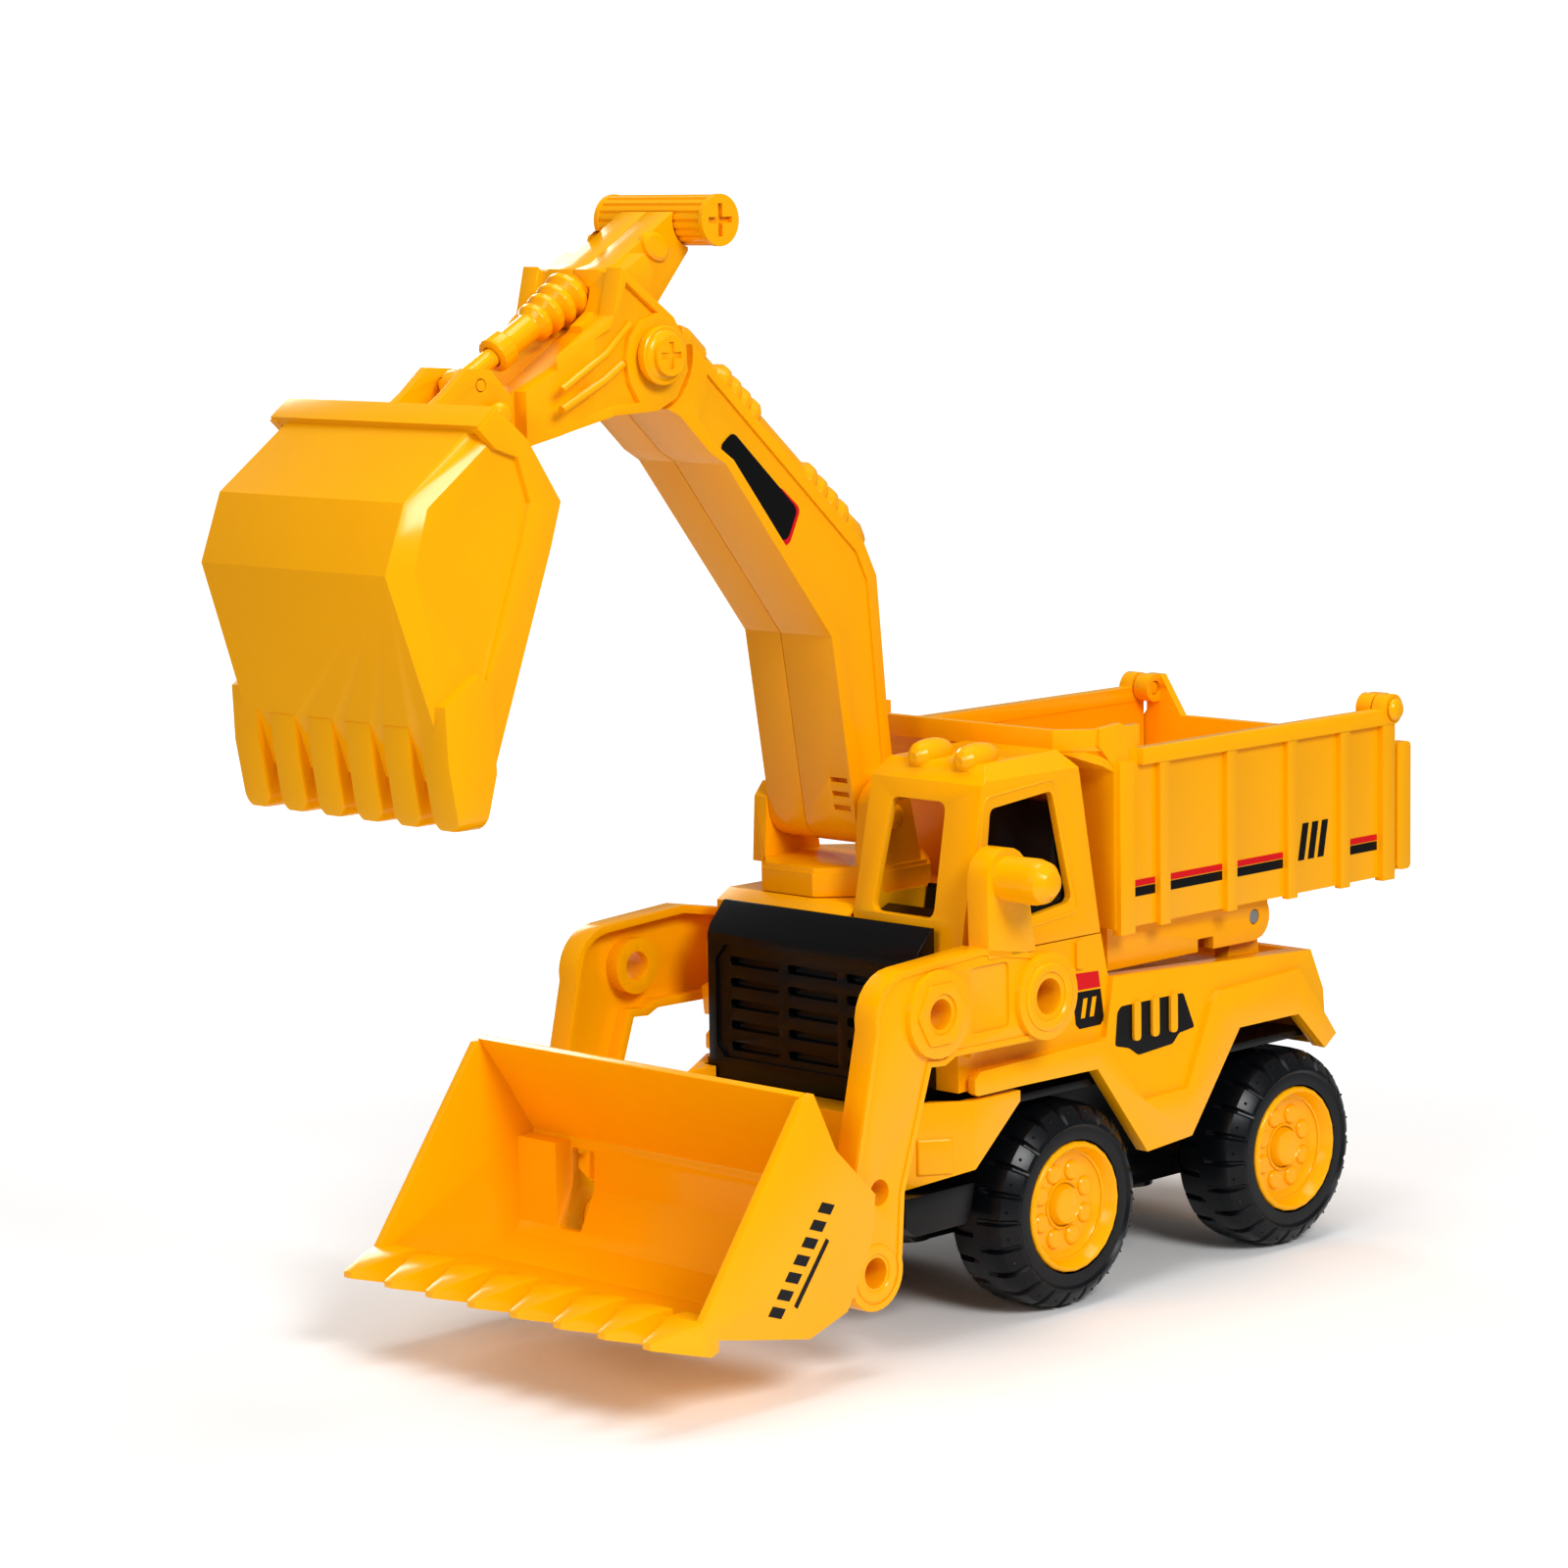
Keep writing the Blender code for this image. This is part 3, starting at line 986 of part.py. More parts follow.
def scoop_points(shrink, front):
    """Return the corners of the scoop, moved inward by a wall thickness."""
    points = []
    for side in (1.0, -1.0):
        for (y, z), width in zip(SCOOP_BACK, SCOOP_WIDTHS):
            points.append((ARM_X + side * (width - 0.6 * shrink), *toward_middle(y, z, shrink)))
        for y, z in SCOOP_SIDE:
            points.append((ARM_X + side * (PANEL_HALF - shrink), *toward_middle(y, z, shrink)))
        for y, z in front:
            points.append((ARM_X + side * (PANEL_HALF - shrink), y, z))
    return points


def toward_middle(y, z, distance):
    """Move a point of the scoop's back toward the middle of its hollow."""
    if distance <= 0.0:
        return (y, z)
    if z < 170.0:
        return (y + distance, z - 6.0)
    reach = math.dist((y, z), (-180.0, 216.0))
    share = 1.25 * distance / reach
    return (y + (-180.0 - y) * share, z + (216.0 - z) * share)


def make_scoop():
    """Make the excavator bucket with its rim, teeth and hinge ears."""
    scoop = hull("scoop", scoop_points(0.0, SCOOP_FRONT))
    opening = [(-150.0, 160.0), (-140.0, 236.0), (-158.0, 246.6), (-171.0, 248.0)]
    cut(scoop, hull("scoop_hollow", scoop_points(WALL, opening)))
    band = [(-178.4, 259.8), (-184.4, 254.6), (-179.0, 249.6), (-171.6, 247.0), (-167.6, 235.4),
            (-171.0, 224.6), (-189.2, 177.0), (-187.0, 163.0), (-182.8, 163.0), (-182.0, 168.6),
            (-161.0, 223.4), (-157.2, 235.0), (-168.0, 251.2)]
    cheek = [(-187.4, 193.6), (-199.0, 186.4), (-198.4, 172.0), (-195.0, 154.4), (-186.4, 153.2),
             (-182.2, 168.0), (-183.2, 190.6)]
    for side, word in ((1.0, "near"), (-1.0, "far")):
        flange = sorted((ARM_X + side * (PANEL_HALF - 1.2), ARM_X + side * FLANGE_HALF))
        outer = ARM_X + side * TEETH_HALF
        inner = outer - side * TOOTH_WIDTH
        ends = sorted((outer, inner))
        rim_cheek = plate("rim_cheek_" + word, cheek, ends[0] - 1.0, ends[1] + 1.0)
        keep(rim_cheek, finger("cheek_finger_" + word, ends[0], 194.0))
        join(scoop, plate("rim_band_" + word, band, *flange), rim_cheek)
    join(scoop, plate("rim_top", [(-178.6, 260.2), (-184.6, 255.6), (-183.0, 253.4), (-172.4, 252.6)],
                      ARM_X - FLANGE_HALF + 0.6, ARM_X + FLANGE_HALF - 0.6))
    add_scoop_teeth(scoop)
    add_scoop_ears(scoop)
    piece(scoop, "scoop_bucket", "scoop", "yellow_plastic")
    make_scoop_pins()


TOOTH_WIDTH = 9.7


def finger(name, x, top):
    """Return a block with a round lower end, as wide as one tooth."""
    width = TOOTH_WIDTH
    outline = [(x, top), (x, 158.0)] + arc((x + 4.0, 158.0), 4.0, 195.0, 270.0, 4)
    outline += arc((x + width - 4.0, 158.0), 4.0, 270.0, 345.0, 4) + [(x + width, 158.0)]
    outline.append((x + width, top))
    return plate(name, outline, -202.0, -178.0, FRONT)


def add_scoop_teeth(scoop):
    """Add four middle teeth between the two side cheeks."""
    tooth = [(-198.6, 180.0), (-198.0, 172.0), (-195.0, 154.4), (-186.4, 153.2), (-184.0, 166.0),
             (-190.6, 178.0)]
    pitch = (2.0 * TEETH_HALF - TOOTH_WIDTH) / 5.0
    for index in range(1, 5):
        x = ARM_X - TEETH_HALF + pitch * index
        wedge = plate("scoop_tooth_%d" % index, tooth, x - 1.0, x + TOOTH_WIDTH + 1.0)
        keep(wedge, finger("tooth_finger_%d" % index, x, 184.0))
        join(scoop, wedge)


def add_scoop_ears(scoop):
    """Add the two hinge ears behind the scoop's top edge."""
    ear = [(-177.0, 255.4), (-167.2, 261.8), (-159.6, 268.0), (-151.4, 267.4), (-144.6, 260.6)]
    ear += arc(CURL_PIVOT, 5.8, 10.0, -90.0, 5) + [(-156.0, 249.0), (-170.4, 247.9)]
    for side, word in ((1.0, "near"), (-1.0, "far")):
        low, high = sorted((ARM_X + side * EAR_INNER, ARM_X + side * EAR_OUTER))
        plate_ear = plate("ear_" + word, ear, low, high)
        join(scoop, plate_ear)
    cut(scoop,
        rod("curl_bore", 2.3, ARM_X - 15.0, ARM_X + 15.0, CURL_PIVOT, "X", 16),
        rod("rod_bore", 1.8, ARM_X - 15.0, ARM_X + 15.0, ROD_PIVOT, "X", 14))


def make_scoop_pins():
    """Make the bucket's hinge pin and the ram rod's cross pin."""
    head = [(0.0, 22.4), (2.4, 22.0), (3.6, 20.8), (3.6, 18.6), (2.0, 18.6), (2.0, 0.2), (0.0, 0.2)]
    pin = turned("scoop_pin", head, across_x(ARM_X - EAR_OUTER - 0.2, CURL_PIVOT), 16)
    piece(pin, "scoop_hinge_pin", "scoop", "yellow_plastic")
    cross = rod("cross_pin", 1.5, ARM_X - EAR_OUTER, ARM_X + EAR_OUTER, ROD_PIVOT, "X", 14)
    piece(cross, "rod_cross_pin", "scoop", "yellow_plastic")


# --------------------------------------------------------------------- main

def clear_scene():
    """Remove the objects of the open scene."""
    for obj in list(bpy.data.objects):
        bpy.data.objects.remove(obj, do_unlink=True)


def make_collections():
    """Make the collections of the parts and of the cutters."""
    global parts, cutters
    parts = bpy.data.collections.new("toy_excavator_truck")
    cutters = bpy.data.collections.new("cutters")
    bpy.context.scene.collection.children.link(parts)
    bpy.context.scene.collection.children.link(cutters)


def make_empties():
    """Make one empty for each moving body, on its joint's axis."""
    for name, parent, place in BODIES:
        empty = bpy.data.objects.new(name + "_frame", None)
        empty.empty_display_size = 0.01
        parts.objects.link(empty)
        places[name] = place
        empties[name] = empty
        if parent is None:
            empty.location = (ROOT_X * MM, ROOT_Y * MM, 0.0)
            continue
        empty.parent = empties[parent]
        empty.location = [(a - b) * MM for a, b in zip(place, places[parent])]


def main():
    """Build the whole toy."""
    clear_scene()
    make_collections()
    make_empties()
    make_materials()
    make_chassis_base()
    make_screws()
    make_body_shell()
    make_grille()
    make_front_bumper()
    make_cab_shell()
    make_cab_interior()
    make_hinge_pins()
    make_wheelset("front_axle", "front", 0.0)
    make_wheelset("rear_axle", "rear", WHEELBASE)
    make_loader_arm(1.0, "left")
    make_loader_arm(-1.0, "right")
    make_loader_bucket()
    make_dump_bed()
    make_tailgate()
    make_turret()
    make_boom()
    make_stick()
    make_bucket_ram()
    make_stick_fittings()
    make_scoop()


if __name__ == "__main__":
    main()
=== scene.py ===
"""Toy construction truck: finishes, small moulded details, prints and a studio.

Sizes inside the functions are in millimetres in the vehicle's own frame: x to
its left, y to its rear, z up, with the front axle at y = 0.
"""
import json
import math

import bmesh
import bpy
from bpy.props import (BoolProperty, FloatProperty, FloatVectorProperty, IntProperty, PointerProperty,
                       StringProperty)
from mathutils import Matrix, Vector


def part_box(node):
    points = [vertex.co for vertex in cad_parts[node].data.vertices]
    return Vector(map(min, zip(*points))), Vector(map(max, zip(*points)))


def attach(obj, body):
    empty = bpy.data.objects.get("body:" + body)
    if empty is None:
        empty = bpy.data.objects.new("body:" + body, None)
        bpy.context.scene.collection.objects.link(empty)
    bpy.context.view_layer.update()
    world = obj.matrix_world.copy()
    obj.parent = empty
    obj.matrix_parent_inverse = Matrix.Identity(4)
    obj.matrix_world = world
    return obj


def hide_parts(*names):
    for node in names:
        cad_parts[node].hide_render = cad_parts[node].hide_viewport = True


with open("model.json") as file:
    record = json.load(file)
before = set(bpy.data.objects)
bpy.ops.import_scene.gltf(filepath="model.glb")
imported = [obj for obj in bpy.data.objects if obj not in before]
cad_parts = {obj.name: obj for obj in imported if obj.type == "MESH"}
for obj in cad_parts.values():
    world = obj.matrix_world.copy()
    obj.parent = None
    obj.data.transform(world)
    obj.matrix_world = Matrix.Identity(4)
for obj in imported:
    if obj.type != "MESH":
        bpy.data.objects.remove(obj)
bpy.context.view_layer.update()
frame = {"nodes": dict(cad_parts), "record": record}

bl_info = {
    "name": "Toy Excavator Truck",
    "version": (1, 0, 0),
    "blender": (4, 5, 0),
    "location": "View3D > Sidebar > Toy Truck",
    "description": "Finishes and details for a moulded toy truck with an excavator arm",
    "category": "Object",
}

MM = 0.001
AXLE_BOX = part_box("front_axle_rod")
ORIGIN = Vector((0.5 * (AXLE_BOX[0][0] + AXLE_BOX[1][0]), 0.5 * (AXLE_BOX[0][1] + AXLE_BOX[1][1]), 0.0))

ARM_X = -22.0
AXLE_Z = 29.3
WHEELBASE = 98.6
LIFT_PIVOT = (-21.0, 93.0)
ELBOW = (-64.5, 94.3)
TILT_PIVOT = (-89.0, 28.2)
STICK_PIVOT = (-101.5, 269.2)
FINGER_BAR = (-78.4, 304.2)

# Each side of the truck and of its excavator arm, as a sign along x and a word
SIDES = ((1.0, "left"), (-1.0, "right"))
ARM_SIDES = ((1.0, "near"), (-1.0, "far"))
WHEELS = [(axle, y, side, word) for axle, y in (("front", 0.0), ("rear", WHEELBASE)) for side, word in SIDES]

# Edges sharper than these angles show as edges, are rounded on the mouldings, and on the added trim
CREASE_ANGLE = math.radians(20.0)
EDGE_ANGLE = math.radians(22.0)
TRIM_EDGE_ANGLE = math.radians(35.0)

# Axes of a flat outline seen from the side: its first axis is y, its second z
SIDE = Matrix(((0, 0, 1, 0), (1, 0, 0, 0), (0, 1, 0, 0), (0, 0, 0, 1)))


# ---------------------------------------------------------------- geometry

def row(x, y, z):
    """Return a point of the row frame in metres from vehicle millimetres."""
    return ORIGIN + Vector((x, y, z)) * MM


def arc(centre, radius, start, stop, steps=8):
    """Return points on an arc, with angles in degrees."""
    points = []
    for index in range(steps + 1):
        angle = math.radians(start + (stop - start) * index / steps)
        points.append((centre[0] + radius * math.cos(angle), centre[1] + radius * math.sin(angle)))
    return points


def circle(centre, radius, steps=32):
    """Return a closed ring of points."""
    return arc(centre, radius, 0.0, 360.0 * (steps - 1) / steps, steps - 1)


def inset(outline, distance):
    """Return the outline with every edge moved inward by a distance."""
    count = len(outline)
    area = 0.0
    for index in range(count):
        a, b = outline[index], outline[(index + 1) % count]
        area += a[0] * b[1] - b[0] * a[1]
    turn = 1.0 if area > 0.0 else -1.0
    lines = []
    for index in range(count):
        a, b = outline[index], outline[(index + 1) % count]
        length = math.dist(a, b)
        normal = (-turn * (b[1] - a[1]) / length, turn * (b[0] - a[0]) / length)
        lines.append((normal, normal[0] * a[0] + normal[1] * a[1] + distance))
    points = []
    for index in range(count):
        (n1, d1), (n2, d2) = lines[index - 1], lines[index]
        cross = n1[0] * n2[1] - n1[1] * n2[0]
        if abs(cross) < 0.0001:
            corner = outline[index]
            points.append((corner[0] + n1[0] * distance, corner[1] + n1[1] * distance))
            continue
        points.append(((d1 * n2[1] - d2 * n1[1]) / cross, (n1[0] * d2 - n2[0] * d1) / cross))
    return points


def rounded(outline, radius, steps=4):
    """Return the outline with each corner replaced by an arc."""
    points = []
    count = len(outline)
    for index, corner in enumerate(outline):
        before, after = outline[index - 1], outline[(index + 1) % count]
        u = Vector((before[0] - corner[0], before[1] - corner[1]))
        v = Vector((after[0] - corner[0], after[1] - corner[1]))
        reach = min(radius, 0.45 * u.length, 0.45 * v.length)
        start = Vector(corner) + u.normalized() * reach
        stop = Vector(corner) + v.normalized() * reach
        for step in range(steps + 1):
            t = step / steps
            blend = start * (1 - t) ** 2 + Vector(corner) * 2 * t * (1 - t) + stop * t ** 2
            points.append((blend.x, blend.y))
    return points


def cross_outline(centre, reach, half):
    """Return the outline of a plus-shaped screwdriver slot."""
    y, z = centre
    return [(y - half, z - reach), (y + half, z - reach), (y + half, z - half), (y + reach, z - half),
            (y + reach, z + half), (y + half, z + half), (y + half, z + reach), (y - half, z + reach),
            (y - half, z + half), (y - reach, z + half), (y - reach, z - half), (y - half, z - half)]


def ring_about_x(work, x, centre, radii):
    """Add a ring of points about a line along x, one for each radius in turn."""
    ring = []
    for index, radius in enumerate(radii):
        angle = 2.0 * math.pi * index / len(radii)
        ring.append(work.verts.new(row(x, centre[0] + radius * math.cos(angle),
                                       centre[1] + radius * math.sin(angle))))
    return ring


def bridge(work, rings):
    """Join each ring of points to the next one with four-sided faces."""
    for first, second in zip(rings, rings[1:]):
        for index in range(len(first)):
            after = (index + 1) % len(first)
            work.faces.new((first[index], first[after], second[after], second[index]))


def add_piece(name, mesh, body, material, round_edges=0.0):
    """Link a finished mesh as a piece of one body, with its material.

    round_edges is the radius of its edges in millimetres.
    """
    obj = bpy.data.objects.new(name, mesh)
    bpy.context.scene.collection.objects.link(obj)
    mesh.materials.clear()
    mesh.materials.append(material)
    if round_edges > 0.0:
        bevel = obj.modifiers.new("moulded_edge", "BEVEL")
        bevel.width = round_edges * MM
        bevel.segments = 2
        bevel.limit_method = "ANGLE"
        bevel.angle_limit = TRIM_EDGE_ANGLE
    shade(obj)
    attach(obj, body)
    return obj


def from_bmesh(name, work):
    """Return a mesh datablock from a bmesh and free the bmesh."""
    bmesh.ops.recalc_face_normals(work, faces=work.faces)
    mesh = bpy.data.meshes.new(name)
    work.to_mesh(mesh)
    work.free()
    return mesh


def mesh_of(name, curve):
    """Return the mesh of a curve datablock."""
    guide = bpy.data.objects.new(name, curve)
    bpy.context.scene.collection.objects.link(guide)
    bpy.context.view_layer.update()
    mesh = bpy.data.meshes.new_from_object(guide.evaluated_get(bpy.context.evaluated_depsgraph_get()))
    bpy.data.objects.remove(guide)
    return mesh


def flat_mesh(name, outlines, low, high, holes=()):
    """Return side-view outlines extruded from x = low to x = high."""
    curve = bpy.data.curves.new(name, "CURVE")
    curve.dimensions = "2D"
    curve.fill_mode = "BOTH"
    curve.extrude = 0.5 * abs(high - low) * MM
    for ring in (*outlines, *holes):
        spline = curve.splines.new("POLY")
        spline.points.add(len(ring) - 1)
        for point, (a, b) in zip(spline.points, ring):
            point.co = (a * MM, b * MM, 0.0, 1.0)
        spline.use_cyclic_u = True
    mesh = mesh_of(name, curve)
    mesh.transform(Matrix.Translation(row(0.5 * (low + high), 0.0, 0.0)) @ SIDE)
    work = bmesh.new()
    work.from_mesh(mesh)
    bmesh.ops.remove_doubles(work, verts=work.verts, dist=0.000001)
    bmesh.ops.recalc_face_normals(work, faces=work.faces)
    work.to_mesh(mesh)
    work.free()
    return mesh


def spin_into(work, profile, centre, steps, side=1.0):
    """Add a profile of (x, radius) points turned about a line along x."""
    rings = []
    for x, radius in profile:
        if radius <= 0.0:
            rings.append([work.verts.new(row(side * x, centre[0], centre[1]))])
        else:
            rings.append(ring_about_x(work, side * x, centre, [radius] * steps))
    for first, second in zip(rings, rings[1:]):
        for index in range(steps):
            corners = [first[index % len(first)], first[(index + 1) % len(first)],
                       second[(index + 1) % len(second)], second[index % len(second)]]
            unique = list(dict.fromkeys(corners))
            if len(unique) > 2:
                work.faces.new(unique)


def tube(name, points, radius, body, material, closed=False):
    """Make a round bead through points in vehicle millimetres."""
    curve = bpy.data.curves.new(name, "CURVE")
    curve.dimensions = "3D"
    curve.bevel_depth = radius * MM
    curve.bevel_resolution = 3
    curve.use_fill_caps = True
    spline = curve.splines.new("POLY")
    spline.points.add(len(points) - 1)
    for point, place in zip(spline.points, points):
        point.co = (*row(*place), 1.0)
    spline.use_cyclic_u = closed
    return add_piece(name, mesh_of(name, curve), body, material)


# --------------------------------------------------------------- shading


def srgb(text):
    """Return a linear colour from an sRGB hex value."""
    values = []
    for index in (0, 2, 4):
        value = int(text[index:index + 2], 16) / 255.0
        values.append(value / 12.92 if value <= 0.04045 else ((value + 0.055) / 1.055) ** 2.4)
    return (*values, 1.0)


def add_node(tree, kind, settings=None, inputs=None, links=None):
    """Add a node with its settings, input values and links from other sockets."""
    node = tree.nodes.new(kind)
    for key, value in (settings or {}).items():
        setattr(node, key, value)
    for key, value in (inputs or {}).items():
        node.inputs[key].default_value = value
    for key, socket in (links or {}).items():
        tree.links.new(socket, node.inputs[key])
    return node


def shading_group():
    """Return the node group that smooths faces and keeps hard edges sharp."""
    found = bpy.data.node_groups.get("edge_shading")
    if found:
        return found
    group = bpy.data.node_groups.new("edge_shading", "GeometryNodeTree")
    group.interface.new_socket("Geometry", in_out="INPUT", socket_type="NodeSocketGeometry")
    group.interface.new_socket("Geometry", in_out="OUTPUT", socket_type="NodeSocketGeometry")
    start = add_node(group, "NodeGroupInput")
    clear = add_node(group, "GeometryNodeRemoveAttribute", inputs={"Name": "custom_normal"},
                     links={"Geometry": start.outputs[0]})
    smooth = add_node(group, "GeometryNodeSetShadeSmooth", {"domain": "FACE"},
                      links={"Geometry": clear.outputs[0]})
    angle = add_node(group, "GeometryNodeInputMeshEdgeAngle")
    sharp = add_node(group, "FunctionNodeCompare", {"data_type": "FLOAT", "operation": "GREATER_THAN"},
                     inputs={1: CREASE_ANGLE}, links={0: angle.outputs[0]})
    edges = add_node(group, "GeometryNodeSetShadeSmooth", {"domain": "EDGE"},
                     inputs={"Shade Smooth": False},
                     links={"Geometry": smooth.outputs[0], "Selection": sharp.outputs[0]})
    add_node(group, "NodeGroupOutput", links={0: edges.outputs[0]})
    return group


def shade(obj):
    """Smooth an object's faces by angle, as its last modifier."""
    modifier = obj.modifiers.new("edge_shading", "NODES")
    modifier.node_group = shading_group()


def plastic(name, light, dark, roughness, spread, grain, grain_depth, ior, glow):
    """Return a moulded plastic: even colour, faint flow marks and a fine grain.

    light and dark are the sRGB colours between which the flow marks vary, and spread
    is how far they move the roughness. grain is the size of the surface texture in
    millimetres, grain_depth its strength, and glow the weight of light inside it.
    """
    material = bpy.data.materials.get(name)
    if material:
        return material
    material = bpy.data.materials.new(name)
    material.use_nodes = True
    tree = material.node_tree
    shader = tree.nodes["Principled BSDF"]
    place = add_node(tree, "ShaderNodeTexCoord")
    # Flow marks of the melt are about 30 mm across
    flow = add_node(tree, "ShaderNodeTexNoise", inputs={"Scale": 1000.0 / 30.0, "Detail": 3.0},
                    links={"Vector": place.outputs["Object"]})
    tint = add_node(tree, "ShaderNodeMix", {"data_type": "RGBA"}, {6: srgb(light), 7: srgb(dark)},
                    {0: flow.outputs[0]})
    tree.links.new(tint.outputs[2], shader.inputs["Base Color"])
    rough = add_node(tree, "ShaderNodeMapRange",
                     inputs={"To Min": roughness - spread, "To Max": roughness + spread},
                     links={"Value": flow.outputs[0]})
    tree.links.new(rough.outputs[0], shader.inputs["Roughness"])
    fine = add_node(tree, "ShaderNodeTexNoise", inputs={"Scale": 1000.0 / grain, "Detail": 2.0},
                    links={"Vector": place.outputs["Object"]})
    # Sink and ejector waviness about 9 mm across bends reflections slightly
    wave = add_node(tree, "ShaderNodeTexNoise", inputs={"Scale": 1000.0 / 9.0, "Detail": 1.0},
                    links={"Vector": place.outputs["Object"]})
    soft = add_node(tree, "ShaderNodeBump", inputs={"Strength": 0.12, "Distance": 0.0004},
                    links={"Height": wave.outputs[0]})
    bump = add_node(tree, "ShaderNodeBump", inputs={"Strength": grain_depth, "Distance": 0.00004},
                    links={"Height": fine.outputs[0], "Normal": soft.outputs[0]})
    tree.links.new(bump.outputs[0], shader.inputs["Normal"])
    shader.inputs["IOR"].default_value = ior
    shader.inputs["Specular IOR Level"].default_value = 0.3
    shader.inputs["Subsurface Weight"].default_value = glow
    shader.inputs["Subsurface Radius"].default_value = (1.0, 0.45, 0.08)
    shader.inputs["Subsurface Scale"].default_value = 0.003
    return material


def yellow_abs():
    """ABS coloured through and moulded in a polished tool: glossy, warm in its shadows."""
    look = bpy.context.scene.toy_look
    return plastic("moulded_yellow_abs", look.yellow, look.yellow_deep, 0.2, 0.04, 0.35, 0.1, 1.53, 0.04)


def black_abs():
    """ABS in black from a lightly textured tool: satin, with a fine grain."""
    return plastic("moulded_black_abs", "0E1014", "0A0C0F", 0.26, 0.05, 0.3, 0.2, 1.53, 0.0)


def tyre_vinyl():
    """Plasticised vinyl, blow moulded: soft sheen and slight bloom on the tread."""
    return plastic("soft_black_vinyl", "14171C", "0D1014", 0.3, 0.06, 0.5, 0.25, 1.52, 0.0)


def black_print():
    """Pad-printed black ink film: smoother than the plastic under it."""
    return plastic("printed_black_film", "0D0E11", "0A0B0D", 0.32, 0.03, 0.6, 0.1, 1.5, 0.0)


def red_print():
    """Pad-printed red ink film."""
    return plastic("printed_red_film", "E01822", "D2141E", 0.32, 0.03, 0.6, 0.1, 1.5, 0.0)


def zinc_steel():
    """Low-carbon steel with bright zinc plating and drawn marks along the wire."""
    material = bpy.data.materials.get("zinc_plated_steel")
    if material:
        return material
    material = bpy.data.materials.new("zinc_plated_steel")
    material.use_nodes = True
    tree = material.node_tree
    shader = tree.nodes["Principled BSDF"]
    shader.inputs["Base Color"].default_value = srgb("C9CBCE")
    shader.inputs["Metallic"].default_value = 1.0
    place = add_node(tree, "ShaderNodeTexCoord")
    # Drawing marks are about 0.2 mm apart and run along the rod
    stretch = add_node(tree, "ShaderNodeMapping", inputs={"Scale": (60.0, 5000.0, 5000.0)},
                       links={"Vector": place.outputs["Object"]})
    marks = add_node(tree, "ShaderNodeTexNoise", inputs={"Scale": 1.0},
                     links={"Vector": stretch.outputs[0]})
    rough = add_node(tree, "ShaderNodeMapRange", inputs={"To Min": 0.22, "To Max": 0.4},
                     links={"Value": marks.outputs[0]})
    tree.links.new(rough.outputs[0], shader.inputs["Roughness"])
    return material


def finish_for(node):
    """Return the material of a CAD node by its name."""
    slots = {entry["node"]: entry["material_slot"] for entry in frame["record"]["subparts"]}
    makers = {"yellow_plastic": yellow_abs, "black_plastic": black_abs, "black_vinyl": tyre_vinyl,
              "plated_steel": zinc_steel}
    return makers[slots[node]]()


# ------------------------------------------------------------- properties

class ToyTruckLook(bpy.types.PropertyGroup):
    """Colours and sizes that change the look of the toy truck."""

    yellow: StringProperty(name="Yellow", description="sRGB hex of the yellow plastic",
                           default="FFB700")
    yellow_deep: StringProperty(name="Deep Yellow", default="FDB000",
                                description="sRGB hex of the yellow in its flow marks")
    edge_radius: FloatProperty(name="Edge Radius", default=0.00055, min=0.0, max=0.002,
                               unit="LENGTH", precision=5,
                               description="Radius of the moulded edges")
    thin_edge_radius: FloatProperty(name="Thin Edge Radius", default=0.00035, min=0.0, max=0.002,
                                    unit="LENGTH", precision=5,
                                    description="Radius of the edges of thin walls and teeth")


class ToyTruckWheels(bpy.types.PropertyGroup):
    """Sizes of the wheels' moulded details."""

    lugs: IntProperty(name="Tread Lugs", default=22, min=8, max=60,
                      description="Number of lugs round each shoulder of a tyre")
    groove: FloatProperty(name="Groove Depth", default=0.0013, min=0.0, max=0.004, unit="LENGTH",
                          precision=4, description="Depth of the grooves between tread lugs")
    bosses: IntProperty(name="Rim Bosses", default=8, min=3, max=16,
                        description="Number of round bosses on each rim")


class ToyTruckStudio(bpy.types.PropertyGroup):
    """Camera and light of the studio."""

    azimuth: FloatProperty(name="Azimuth", default=math.radians(44.48), subtype="ANGLE",
                           description="Direction of the camera round the truck")
    elevation: FloatProperty(name="Elevation", default=math.radians(7.81), subtype="ANGLE",
                             description="Height angle of the camera")
    roll: FloatProperty(name="Roll", default=math.radians(-0.95), subtype="ANGLE",
                        description="Tilt of the camera about its own line of sight")
    lens: FloatProperty(name="Lens", default=106.54, min=20.0, max=300.0,
                        description="Focal length in millimetres on a 36 mm sensor")
    key: FloatProperty(name="Key Light", default=11.6, min=0.0, subtype="POWER",
                       description="Power of the large soft light")
    floor: FloatVectorProperty(name="Floor", default=(0.97, 0.97, 0.97), size=3, subtype="COLOR",
                               min=0.0, max=1.0, description="Colour of the floor")
    ambient: FloatProperty(name="Room Light", default=0.25, min=0.0, max=2.0,
                           description="Strength of the even light from all round")
    show_floor: BoolProperty(name="Floor On", default=True, description="Add the floor")


# --------------------------------------------------------------- operators

# Mouldings with thin walls or teeth, and words in the names of nodes that keep plain edges
THIN_NODES = ("loader_bucket", "scoop_bucket", "dump_bed", "tailgate", "grille", "cab_shell",
              "boom_ram", "stick_ram_barrel", "bucket_rod")
PLAIN_NODES = ("tyre", "screw", "washer", "axle_rod", "hinge_rod", "cross_pin")


